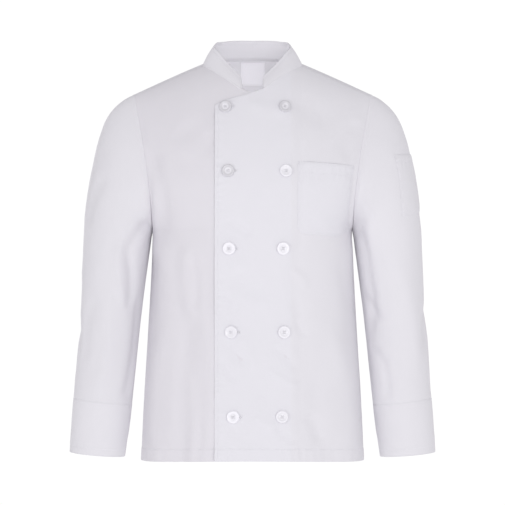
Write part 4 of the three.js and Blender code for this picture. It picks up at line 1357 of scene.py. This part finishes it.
def collar_grid(grids):
    """The collar's outer face, from its left end round the back to its right end."""
    left, left_out, left_along = half_neckline(grids["front_left"], grids["back"], 1)
    right, right_out, right_along = half_neckline(grids["front_right"], grids["back"], -1)
    base = np.concatenate([left, right[-2::-1]])
    out = unit(np.concatenate([left_out, right_out[-2::-1]]))
    along = np.concatenate([left_along, right_along[-2::-1]])
    run = arc_lengths(base, 0)
    end_away = np.minimum(run, run[-1] - run)
    corner = np.sqrt(1 - (1 - np.clip(end_away / COLLAR_END_RUN, 0.1, 1)) ** 2)
    up = unit(base * (-1, -1, 0)) * collar_lean(along)[:, None]
    up[:, 2] = collar_rise(along)
    low_rows = [0, 0.03, 0.07, 0.11]
    top_rows = [0.87, 0.9, 0.94, 0.98, 1.0]
    share = np.concatenate([low_rows, even_steps(0.16, 0.84, 0.06), top_rows])[:, None]
    across = unit(np.cross(out, np.gradient(base, axis=0)))
    points = base[None] + out[None] * COLLAR_OUT - across[None] * COLLAR_DROP * (1 - share[..., None])
    points = points + up[None] * (share * corner[None])[..., None]
    normals = grid_normals(points, False)
    height = arc_lengths(points, 0)
    top = height[-1:] - height
    sway = 0.6 * wander(run[None] + 0 * share, height, 30, SEEDS["collar"]) * smooth(share * 4)
    bulge = np.sin(np.pi * share) * corner[None]
    dents = groove(top - COLLAR_TOP_STITCH, 1.4, 0.7) + groove(height - COLLAR_BASE_STITCH, 1.3, 0.5)
    points = points + normals * (sway + bulge - dents)[..., None]
    return {
        "height": arc_lengths(points, 0),
        "outer": points,
        "normals": grid_normals(points, False),
        "wall": COLLAR_WALL - COLLAR_DENT * dents,
    }


def make_collar(grids, material):
    grid = collar_grid(grids)
    piece = wall_object("collar_cloth", grid["outer"], grid["normals"], grid["wall"], material)
    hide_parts("collar")
    return grid


def level_line(grid, value, from_top=False):
    """A line round the collar at a height above its base, or below its top."""
    points = []
    normals = []
    for j in range(grid["outer"].shape[1]):
        column = grid["height"][:, j]
        at = column[-1] - value if from_top else value
        if column[0] + 1.2 <= at <= column[-1] - 1.2:
            points.append(along_line(at, column, grid["outer"][:, j]))
            normals.append(along_line(at, column, grid["normals"][:, j]))
    return np.array(points), np.array(normals)


# Where a search for the cloth starts: before the jacket, or inside its neck.
IN_FRONT = -400
INSIDE_NECK = -20


# Patches: pockets and label


def face_tree(points):
    """A search tree of a grid's faces, for rays."""
    rows, columns = points.shape[:2]
    number = np.arange(rows * columns).reshape(rows, columns)
    quads = np.stack([number[:-1, :-1], number[:-1, 1:], number[1:, 1:], number[1:, :-1]], -1)
    return BVHTree.FromPolygons(points.reshape(-1, 3).tolist(), quads.reshape(-1, 4).tolist())


def cast(tree, x, z, start=IN_FRONT):
    """The point that a ray towards +Y from start meets, and the face's normal turned to -Y."""
    place, normal, _, _ = tree.ray_cast(Vector((x, start, z)), Vector((0, 1, 0)))
    if place is None:
        raise RuntimeError(f"no cloth at x {x:.1f}, z {z:.1f}")
    if normal.y > 0:
        normal = -normal
    return np.array(place), np.array(normal)


# Places of a patch's first rows and columns in from its sewn edges, and down from its top.
PATCH_STEPS = np.array([0, 0.7, 1.6, 2.6, 3.6, 5.0])
MOUTH_STEPS = np.array([0, 0.7, 2.0])
PATCH_GAP = 0.1


def patch_plan(corners, chamfer, cell):
    """A grid of plan places inside four corners, whose two lower corners are cut off.

    Returns the places, and the distance of each one from the left, right, lower and top edges.
    """
    top_in, top_out, low_in, low_out = np.array(corners, float)
    width = np.linalg.norm(top_out - top_in)
    height = np.linalg.norm(top_in - low_in)
    first = PATCH_STEPS[-1]
    across = even_steps(first, width - first, cell)[1:-1]
    upward = even_steps(first, height - MOUTH_STEPS[-1], cell)[1:-1]
    s = np.concatenate([PATCH_STEPS, across, width - PATCH_STEPS[::-1]]) / width
    t = np.concatenate([PATCH_STEPS, upward, height - MOUTH_STEPS[::-1]]) / height
    s, t = np.meshgrid(s, t)
    cut = np.maximum(0, chamfer - np.minimum(s, 1 - s) * width) / height if chamfer else 0 * s
    up = cut + (1 - cut) * t
    low = low_in + (low_out - low_in) * s[..., None]
    top = top_in + (top_out - top_in) * s[..., None]
    place = low + (top - low) * up[..., None]
    edges = {
        "left": s * width,
        "right": (1 - s) * width,
        "low": (up - cut) * height,
        "top": (1 - up) * height,
    }
    return place, edges


def pocket_relief(edges, hem_band, seed, puff):
    """Height of a pocket's outer face over the cloth that it is sewn to."""
    inset = np.minimum(np.minimum(edges["left"], edges["right"]), edges["low"])
    from_edge = np.minimum(inset, edges["top"])
    rise = puff * smooth(inset / 22) - 0.85 * (1 - smooth(from_edge / 4))
    rise += 0.15 * smooth((hem_band + 1 - edges["top"]) / 2)
    rise += 0.1 * smooth(inset / 18) * near(edges["top"], 9)
    gather = puckers(edges["left"], edges["top"] - hem_band, 14, 13, 0.5, seed)
    side = puckers(edges["top"], inset - 2.5, 6, 12, 0.3, seed + 1)
    rise += gather * smooth(inset / 8) + side
    rise -= groove(inset - PATCH_INSET, 1.0, 0.4)
    rise -= groove(edges["top"] - hem_band, 1.0, 0.4) * smooth(inset / 4)
    return rise + 0.5 * wander(edges["left"], edges["top"], 26, seed + 2) * smooth(inset / 10)


def make_patch(name, base, relief, wall, material):
    """A cloth patch that lies on base, with its outer face raised by relief."""
    normals = grid_normals(base, False)
    outer = base + normals * (PATCH_GAP + wall + relief)[..., None]
    thickness = np.maximum(wall + relief - PATCH_GAP * smooth(relief), wall * 0.2)
    piece = wall_object(name, outer, normals, thickness, material)
    return piece, {"outer": outer, "normals": grid_normals(outer, False)}


def field_line(patch, edges, name, value, limits):
    """A patch's line at one distance from an edge, where the distances from others are enough."""
    across = name in ("left", "right")

    def lines_of(grid):
        return grid if across else np.swapaxes(grid, 0, 1)

    outer = lines_of(patch["outer"])
    normals = lines_of(patch["normals"])
    points = []
    out = []
    for k, away in enumerate(lines_of(edges[name])):
        order = np.argsort(away)
        run = away[order]
        others = [(lines_of(edges[other])[k][order], low) for other, low in limits.items()]
        if all(np.interp(value, run, field) >= low for field, low in others):
            points.append(along_line(value, run, outer[k][order]))
            out.append(along_line(value, run, normals[k][order]))
    return np.array(points), np.array(out)


def patch_stitches(patch, edges, inset, hem_band):
    """Stitch lines inside the two sides, the lower edge and the top of a patch."""
    inside = {"left": inset, "right": inset}
    return [
        field_line(patch, edges, "left", inset, {"low": inset}),
        field_line(patch, edges, "right", inset, {"low": inset}),
        field_line(patch, edges, "low", inset, inside),
        field_line(patch, edges, "top", hem_band, inside),
    ]


# Corners as top inner, top outer, low inner and low outer. The chest pocket's and the label's are
# x and height. The sleeve pocket's are degrees forward of the sleeve's outer line, and height.
CHEST_POCKET = ((82, -184), (185, -191), (80.5, -314), (168, -320.5))
SLEEVE_POCKET = ((50, -170), (-24, -166), (64, -284), (-10, -272))
LABEL = ((-21.5, 7.5), (22.5, 7.5), (-21.5, -32.5), (22.5, -32.5))
PATCH_INSET = 2.6
LABEL_INSET = 2.0
LABEL_WALL = 1.0
PATCH_CELL = 2.4
SLEEVE_POCKET_CELL = 1.8
CHEST_PUFF = 0.9
SLEEVE_PUFF = 0.8
SLEEVE_HEM = 14.0
CHEST_CHAMFER = 10
CHEST_HEM = 19.0


def make_chest_pocket(front, material):
    place, edges = patch_plan(CHEST_POCKET, CHEST_CHAMFER, PATCH_CELL)
    tree = face_tree(front["outer"])
    base = np.array([[cast(tree, x, z)[0] for x, z in row] for row in place])
    relief = pocket_relief(edges, CHEST_HEM, SEEDS["chest_pocket"], CHEST_PUFF)
    piece, patch = make_patch("chest_pocket_cloth", base, relief, POCKET_WALL, material)
    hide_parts("chest_pocket")
    return patch, edges


def sleeve_place(grid, degrees, forward, height):
    """A sleeve's outer face at degrees forward of its outer line, and at a height."""
    at = np.interp(180 - forward, degrees, np.arange(len(degrees)))
    j = int(at)
    k = (j + 1) % len(degrees)
    column = mix(grid["outer"][:, j], grid["outer"][:, k], at - j)
    column = column[np.argsort(column[:, 2])]
    return along_line(height, column[:, 2], column)


def make_sleeve_pocket(sleeve, material):
    place, _ = patch_plan(SLEEVE_POCKET, 0, SLEEVE_POCKET_CELL)
    degrees = ring_degrees(sleeve["u"][0])
    base = np.array([[sleeve_place(sleeve, degrees, a, z) for a, z in row] for row in place])
    across = arc_lengths(base, 1)
    up = arc_lengths(base, 0)
    edges = {"left": across, "right": across[:, -1:] - across, "low": up, "top": up[-1:] - up}
    relief = pocket_relief(edges, SLEEVE_HEM, SEEDS["sleeve_pocket"], SLEEVE_PUFF)
    piece, patch = make_patch("sleeve_pocket_cloth", base, relief, POCKET_WALL, material)
    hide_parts("sleeve_pocket")
    return patch, edges


def make_label(back, material):
    place, edges = patch_plan(LABEL, 0, PATCH_CELL)
    tree = face_tree(back["outer"] - back["normals"] * CLOTH)
    base = np.array([[cast(tree, x, z, INSIDE_NECK)[0] for x, z in row] for row in place])
    inset = np.min(list(edges.values()), axis=0)
    relief = 0.3 * smooth(inset / 8) - groove(inset - LABEL_INSET, 0.9, 0.3)
    piece, patch = make_patch("label_cloth_piece", base, relief, LABEL_WALL, material)
    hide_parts("label")
    return patch, edges


# Thread

# Threads of bar tacks and buttonholes. A bar is (centre, direction, normal, length).
BAR_THREAD = 0.6
BAR_LENGTH = 5.0


def bar_tack(place, out, along, length, width):
    """Close cross stitches over a short line, as bars."""
    side = np.cross(along, out)
    count = max(3, int(length / (BAR_THREAD * 0.8)))
    return [
        (place + along * ((k + 0.5) / count - 0.5) * length, side, out, width)
        for k in range(count)
    ]


def bars_object(name, bars, width, material):
    """Many short threads, as one joined mesh."""
    places, along, out, lengths = (np.array(part) for part in zip(*bars))
    vertices, faces = capsules(places, out, along, lengths, width / 2)
    piece = new_object(name, vertices, faces, material)
    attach(piece, BODY_NAME)


# Buttons

# Row number, x of the lap's button, x of the side's button, and height.
BUTTONS = [
    (1, -49, 58.8, -84), (2, -44, 60.2, -201.5), (3, -42.2, 54.8, -341.5),
    (4, -38.6, 56.6, -492), (5, -35, 52.9, -644),
]
BUTTON_HOLE = 0.8
BUTTON_HOLE_OUT = 1.75
BUTTON_SEAT = 0.15
BUTTON_WELL = 2.55
BUTTON_FOOT = 0.9
BUTTON_SHANK = 4.0
BUTTON_THREAD = 1.25
# Buttons whose rims carry painted shade (the top three) and a painted highlight (three more), standing in
# for how their tilt meets the light.
BUTTON_KIND = {
    (1, "lap"): "button_shaded_rim", (1, "side"): "button_shaded_rim", (2, "lap"): "button_shaded_rim",
    (3, "lap"): "button_highlit_rim", (3, "side"): "button_highlit_rim", (5, "lap"): "button_highlit_rim",
}
BUTTON_PROFILE = [
    (0, 0.95), (6.0, 0.8), (9.6, 0.7), (10.7, 0.95), (11.3, 1.6), (11.5, 2.3), (11.25, 3.1),
    (10.6, 3.65), (9.7, 3.9), (8.6, 3.8), (7.4, 3.4), (6.4, 2.9), (5.4, 2.55), (4.8, 2.5), (0, 2.5),
]
BUTTON_TILT = {
    (1, "lap"): (7, -4), (1, "side"): (6, 3), (2, "lap"): (5, 5), (2, "side"): (1, -2),
    (3, "lap"): (-2, 2), (3, "side"): (2, 1), (4, "lap"): (1, -3), (4, "side"): (-1, 2),
    (5, "lap"): (2, 2), (5, "side"): (-2, -1),
}


def turned_button(sides):
    """A moulded button's body with a raised rim and a sunk middle, facing +Z."""
    turned = bmesh.new()
    rings = []
    for radius, height in BUTTON_PROFILE:
        angles = [2 * math.pi * k / sides for k in range(sides if radius else 1)]
        ring = [(radius * math.cos(a), radius * math.sin(a), height) for a in angles]
        rings.append([turned.verts.new(corner) for corner in ring])
    for face in lathe_faces(rings, sides):
        turned.faces.new(face)
    bmesh.ops.recalc_face_normals(turned, faces=turned.faces)
    return turned


def button_drills():
    """Four round bars where a button's holes go."""
    drills = bmesh.new()
    for k in range(4):
        angle = math.pi / 4 + k * math.pi / 2
        offset = Vector((BUTTON_HOLE_OUT * math.cos(angle), BUTTON_HOLE_OUT * math.sin(angle), 2))
        bmesh.ops.create_cone(
            drills, cap_ends=True, segments=16, radius1=BUTTON_HOLE, radius2=BUTTON_HOLE,
            depth=6, matrix=Matrix.Translation(offset),
        )
    return drills


def button_mesh(sides):
    """A moulded button with its four holes cut out."""
    parts = []
    for name, work in (("Button", turned_button(sides)), ("Button drills", button_drills())):
        mesh = bpy.data.meshes.new(name)
        work.to_mesh(mesh)
        work.free()
        part = bpy.data.objects.new(name, mesh)
        bpy.context.scene.collection.objects.link(part)
        parts.append(part)
    blank, drills = parts
    cut = blank.modifiers.new("Holes", "BOOLEAN")
    cut.object = drills
    cut.operation = "DIFFERENCE"
    cut.solver = "EXACT"
    bpy.context.view_layer.update()
    result = bpy.data.meshes.new_from_object(blank.evaluated_get(bpy.context.evaluated_depsgraph_get()))
    for part in parts:
        bpy.data.objects.remove(part)
    return result


def button_frame(tree, x, z, tilt):
    """Where a button sits on the left front, and its turned axes."""
    place, normal = cast(tree, x, z)
    beside = [cast(tree, x + dx, z + dz) for dx, dz in ((9, 0), (-9, 0), (0, 9), (0, -9))]
    out = unit(normal + sum(n for _, n in beside))
    highest = max(float((p - place) @ out) for p, _ in beside)
    seat = place + out * (max(0.0, highest) + BUTTON_SEAT)
    turn_x, turn_y = (Matrix.Rotation(math.radians(a), 4, axis) for a, axis in zip(tilt, "XY"))
    base = Vector((0, 0, 1)).rotation_difference(Vector(out)).to_matrix().to_4x4()
    return seat, base @ turn_x @ turn_y


def button_thread(seat, axes):
    """Bars of the thread through a button's holes: two across its well and four down to the cloth."""
    reach = BUTTON_HOLE_OUT * math.sqrt(0.5)
    bars = []
    for way in (-1, 1):
        beside = seat + axes[0] * way * reach
        bars.append((beside + axes[2] * BUTTON_WELL, axes[1], axes[2], 2 * reach + 1.6))
        for end in (-1, 1):
            foot = beside + axes[2] * BUTTON_FOOT + axes[1] * end * reach
            bars.append((foot, axes[2], axes[0], BUTTON_SHANK))
    return bars


def make_buttons(front, settings, materials):
    tree = face_tree(front["outer"])
    blank = button_mesh(settings.button_sides)
    threads = []
    for row, lap_x, side_x, height in BUTTONS:
        for column, x in (("lap", lap_x), ("side", side_x)):
            seat, turned = button_frame(tree, x, height, BUTTON_TILT[row, column])
            mesh = blank.copy()
            mesh.materials.append(materials[BUTTON_KIND.get((row, column), "button")])
            mesh.transform(Matrix.Translation(Vector(seat * MM)) @ turned @ Matrix.Scale(MM, 4))
            mesh.polygons.foreach_set("use_smooth", [True] * len(mesh.polygons))
            name = f"button_{row}_{column}"
            piece = bpy.data.objects.new(f"{name}_moulded", mesh)
            bpy.context.scene.collection.objects.link(piece)
            bpy.context.view_layer.update()
            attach(piece, BODY_NAME)
            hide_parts(name)
            threads += button_thread(seat, np.array(turned.to_3x3()).T)
    bars_object("button_threads", threads, BUTTON_THREAD, materials["thread"])


# A buttonhole's middle past its button, its length, and the spacing and offset of its stitches.
HOLE_SHIFT = 5.5
HOLE_LENGTH = 21
HOLE_PITCH = 0.55
HOLE_SIDE = 1.45


def make_buttonholes(front, material):
    tree = face_tree(front["outer"])
    bars = []
    for _, lap_x, _, height in BUTTONS:
        x = lap_x + HOLE_SHIFT
        place, left, right, up = (
            cast(tree, x + dx, height + dz)[0] for dx, dz in ((0, 0), (-9, 0), (9, 0), (0, 3))
        )
        along = unit(right - left)
        out = unit(np.cross(along, up - place))
        count = int(HOLE_LENGTH / HOLE_PITCH)
        for k in range(count):
            run = ((k + 0.5) / count - 0.5) * HOLE_LENGTH
            for way in (-1, 1):
                on, _ = cast(tree, x + run * along[0], height + way * HOLE_SIDE)
                bars.append((on + out * 0.1, np.cross(along, out), out, 2.1))
        for way in (-1, 1):
            on, _ = cast(tree, x + way * (HOLE_LENGTH / 2 + 0.1) * along[0], height)
            bars += bar_tack(on + out * 0.15, out, along, 1.4, BAR_LENGTH)
    bars_object("buttonhole_stitches", bars, BAR_THREAD, material)


def make_bar_tacks(patches, material):
    """Short bars of thread at the mouth of each pocket."""
    bars = []
    for patch in patches:
        for j in (2, -3):
            place = patch["outer"][-3, j]
            along = unit(place - patch["outer"][-6, j])
            bars += bar_tack(place - along * 3, patch["normals"][-3, j], along, 7.0, 2.2)
    bars_object("pocket_bar_tacks", bars, BAR_THREAD, material)


# Operators

_grids = {}


class JACKET_OT_fronts(bpy.types.Operator):
    """Makes the two fronts, the left one lapped over the right, with their stitches"""

    bl_idname = "jacket.fronts"
    bl_label = "Make the fronts"

    def execute(self, context):
        settings = jacket(context)
        materials = looks(settings)
        lines = []
        for side, name in ((1, "left"), (-1, "right")):
            grid = make_front(side, settings, materials["lapped" if side > 0 else "under"])
            _grids[f"front_{name}"] = grid
            lines += front_stitches(grid)
        stitch_rows("front_stitches", lines, settings, materials["thread"])
        return {"FINISHED"}


class JACKET_OT_back(bpy.types.Operator):
    """Makes the back with its hem stitches"""

    bl_idname = "jacket.back"
    bl_label = "Make the back"

    def execute(self, context):
        settings = jacket(context)
        materials = looks(settings)
        grid = make_back(settings, materials["cloth"])
        _grids["back"] = grid
        stitch_rows("back_stitches", [row_line(grid, HEM_ROW)], settings, materials["thread"])
        return {"FINISHED"}


class JACKET_OT_sleeves(bpy.types.Operator):
    """Makes both sleeves and cuffs with their stitches"""

    bl_idname = "jacket.sleeves"
    bl_label = "Make the sleeves"

    def execute(self, context):
        settings = jacket(context)
        materials = looks(settings)
        lines = []
        for side, name in ((1, "left"), (-1, "right")):
            sleeve, band = make_sleeve(side, settings, materials["cloth"])
            _grids[f"sleeve_{name}"] = sleeve
            lines.append(closed_line(band, CUFF_SEAM_ROW / CUFF_PITCH))
            lines.append(closed_line(band, CUFF_RINGS - CUFF_HEM / CUFF_PITCH))
        stitch_rows("cuff_stitches", lines, settings, materials["thread"])
        return {"FINISHED"}


class JACKET_OT_collar(bpy.types.Operator):
    """Makes the stand collar and the bare label inside the back neck"""

    bl_idname = "jacket.collar"
    bl_label = "Make the collar and label"

    def execute(self, context):
        settings = jacket(context)
        materials = looks(settings)
        grid = make_collar(_grids, materials["cloth"])
        inside = grid["outer"] - grid["normals"] * grid["wall"][..., None]
        inner = dict(grid, outer=inside, normals=-grid["normals"])
        lines = [
            level_line(grid, COLLAR_TOP_STITCH, from_top=True),
            level_line(grid, COLLAR_BASE_STITCH),
            level_line(inner, COLLAR_TOP_STITCH, from_top=True),
            level_line(inner, COLLAR_BASE_STITCH),
        ]
        stitch_rows("collar_stitches", lines, settings, materials["thread"])
        patch, edges = make_label(_grids["back"], materials["label"])
        rows = patch_stitches(patch, edges, LABEL_INSET, LABEL_INSET)
        stitch_rows("label_stitches", rows, settings, materials["thread"])
        return {"FINISHED"}


class JACKET_OT_pockets(bpy.types.Operator):
    """Makes the chest pocket and the sleeve pocket with their stitches"""

    bl_idname = "jacket.pockets"
    bl_label = "Make the pockets"

    def execute(self, context):
        settings = jacket(context)
        materials = looks(settings)
        chest, chest_edges = make_chest_pocket(_grids["front_left"], materials["doubled"])
        arm, arm_edges = make_sleeve_pocket(_grids["sleeve_left"], materials["cloth"])
        lines = patch_stitches(chest, chest_edges, PATCH_INSET, CHEST_HEM)
        lines += patch_stitches(arm, arm_edges, PATCH_INSET, SLEEVE_HEM)
        stitch_rows("pocket_stitches", lines, settings, materials["thread"])
        make_bar_tacks((chest, arm), materials["thread"])
        return {"FINISHED"}


class JACKET_OT_buttons(bpy.types.Operator):
    """Makes the ten buttons, their thread and the five buttonholes"""

    bl_idname = "jacket.buttons"
    bl_label = "Make the buttons"

    def execute(self, context):
        settings = jacket(context)
        materials = looks(settings)
        make_buttonholes(_grids["front_left"], materials["thread"])
        make_buttons(_grids["front_left"], settings, materials)
        return {"FINISHED"}


def area_light(name, place, aim, size, power):
    lamp = bpy.data.lights.new(name, "AREA")
    lamp.shape = "RECTANGLE"
    lamp.size, lamp.size_y = size
    lamp.energy = power
    holder = bpy.data.objects.new(name, lamp)
    holder.location = place
    way = Vector(aim) - Vector(place)
    holder.rotation_euler = way.to_track_quat("-Z", "Y").to_euler()
    holder.visible_camera = False
    bpy.context.scene.collection.objects.link(holder)


# The light from the surround is weaker from above, and the camera sees plain white there.
WORLD_COLOUR = (0.99, 0.982, 1.0)
WORLD_LIGHT = 0.82
WORLD_LIGHT_ABOVE = 0.57
WORLD_FADE = (-0.2, 0.9)
WORLD_SEEN = 1.02
SENSOR = 36
LENS = 173.4
CAMERA_PLACE = (0, -4.5, -0.3487)
MIDDLE = (0, 0, -0.36)
LIGHTS = [
    ("Key", (1.3, -3.7, -0.1), MIDDLE, (1.2, 1.4), 23),
    ("Fill", (-2.6, -2.9, -0.6), MIDDLE, (1.6, 1.8), 12),
    ("Front", (0, -4.3, -0.4), MIDDLE, (0.5, 0.5), 15),
    ("Behind", (-1.6, 3.4, 0.2), MIDDLE, (1.4, 1.4), 26),
    ("Neck", (0, 0.015, -0.17), (0, 0.09, -0.02), (0.09, 0.04), 0.13),
]


def studio_world():
    """A white surround that lights the jacket a little less from above."""
    world = bpy.data.worlds.new("Studio white")
    world.use_nodes = True
    tree = world.node_tree
    tree.nodes.clear()
    out = tree.nodes.new("ShaderNodeOutputWorld")
    choose = tree.nodes.new("ShaderNodeMixShader")
    ray = tree.nodes.new("ShaderNodeLightPath")
    lit = tree.nodes.new("ShaderNodeBackground")
    seen = tree.nodes.new("ShaderNodeBackground")
    values = {
        "Value": axes_of(tree, coordinates(tree, "Generated"))["Z"],
        "From Min": WORLD_FADE[0], "From Max": WORLD_FADE[1],
        "To Min": WORLD_LIGHT, "To Max": WORLD_LIGHT_ABOVE,
    }
    feed(tree, lit, {"Color": (*WORLD_COLOUR, 1), "Strength": range_node(tree, values, soft=False)})
    feed(tree, seen, {"Color": (1, 1, 1, 1), "Strength": WORLD_SEEN})
    feed(tree, choose, {0: ray.outputs["Is Camera Ray"], 1: lit.outputs[0], 2: seen.outputs[0]})
    feed(tree, out, {0: choose.outputs[0]})
    return world


def studio_camera():
    """A camera straight in front, near the middle of the jacket's height."""
    camera = bpy.data.cameras.new("Camera")
    camera.sensor_width = SENSOR
    camera.lens = LENS
    holder = bpy.data.objects.new("Camera", camera)
    holder.location = CAMERA_PLACE
    holder.rotation_euler = (math.pi / 2, 0, 0)
    bpy.context.scene.collection.objects.link(holder)
    return holder


class JACKET_OT_stage(bpy.types.Operator):
    """Sets the white studio: world, lights and camera"""

    bl_idname = "jacket.stage"
    bl_label = "Set the studio"

    def execute(self, context):
        scene = context.scene
        scene.world = studio_world()
        for light in LIGHTS:
            area_light(*light)
        scene.camera = studio_camera()
        scene.view_settings.view_transform = "Standard"
        scene.view_settings.look = "None"
        return {"FINISHED"}


class JACKET_PT_panel(bpy.types.Panel):
    """Lists the jacket's sizes and pieces in the 3D view's sidebar"""

    bl_label = "Chef Jacket"
    bl_idname = "JACKET_PT_panel"
    bl_space_type = "VIEW_3D"
    bl_region_type = "UI"
    bl_category = "Jacket"

    def draw(self, context):
        settings = jacket(context)
        for name in JacketSettings.__annotations__:
            self.layout.prop(settings, name)
        for operator in OPERATORS:
            self.layout.operator(operator.bl_idname)


OPERATORS = (
    JACKET_OT_fronts,
    JACKET_OT_back,
    JACKET_OT_sleeves,
    JACKET_OT_collar,
    JACKET_OT_pockets,
    JACKET_OT_buttons,
    JACKET_OT_stage,
)
CLASSES = (JacketSettings, *OPERATORS, JACKET_PT_panel)


def register():
    for each in CLASSES:
        bpy.utils.register_class(each)
    bpy.types.Scene.chef_jacket = PointerProperty(type=JacketSettings)


def unregister():
    del bpy.types.Scene.chef_jacket
    for each in reversed(CLASSES):
        bpy.utils.unregister_class(each)


def main():
    register()
    for operator in OPERATORS:
        group, name = operator.bl_idname.split(".")
        getattr(getattr(bpy.ops, group), name)()


if __name__ == "__main__":
    main()
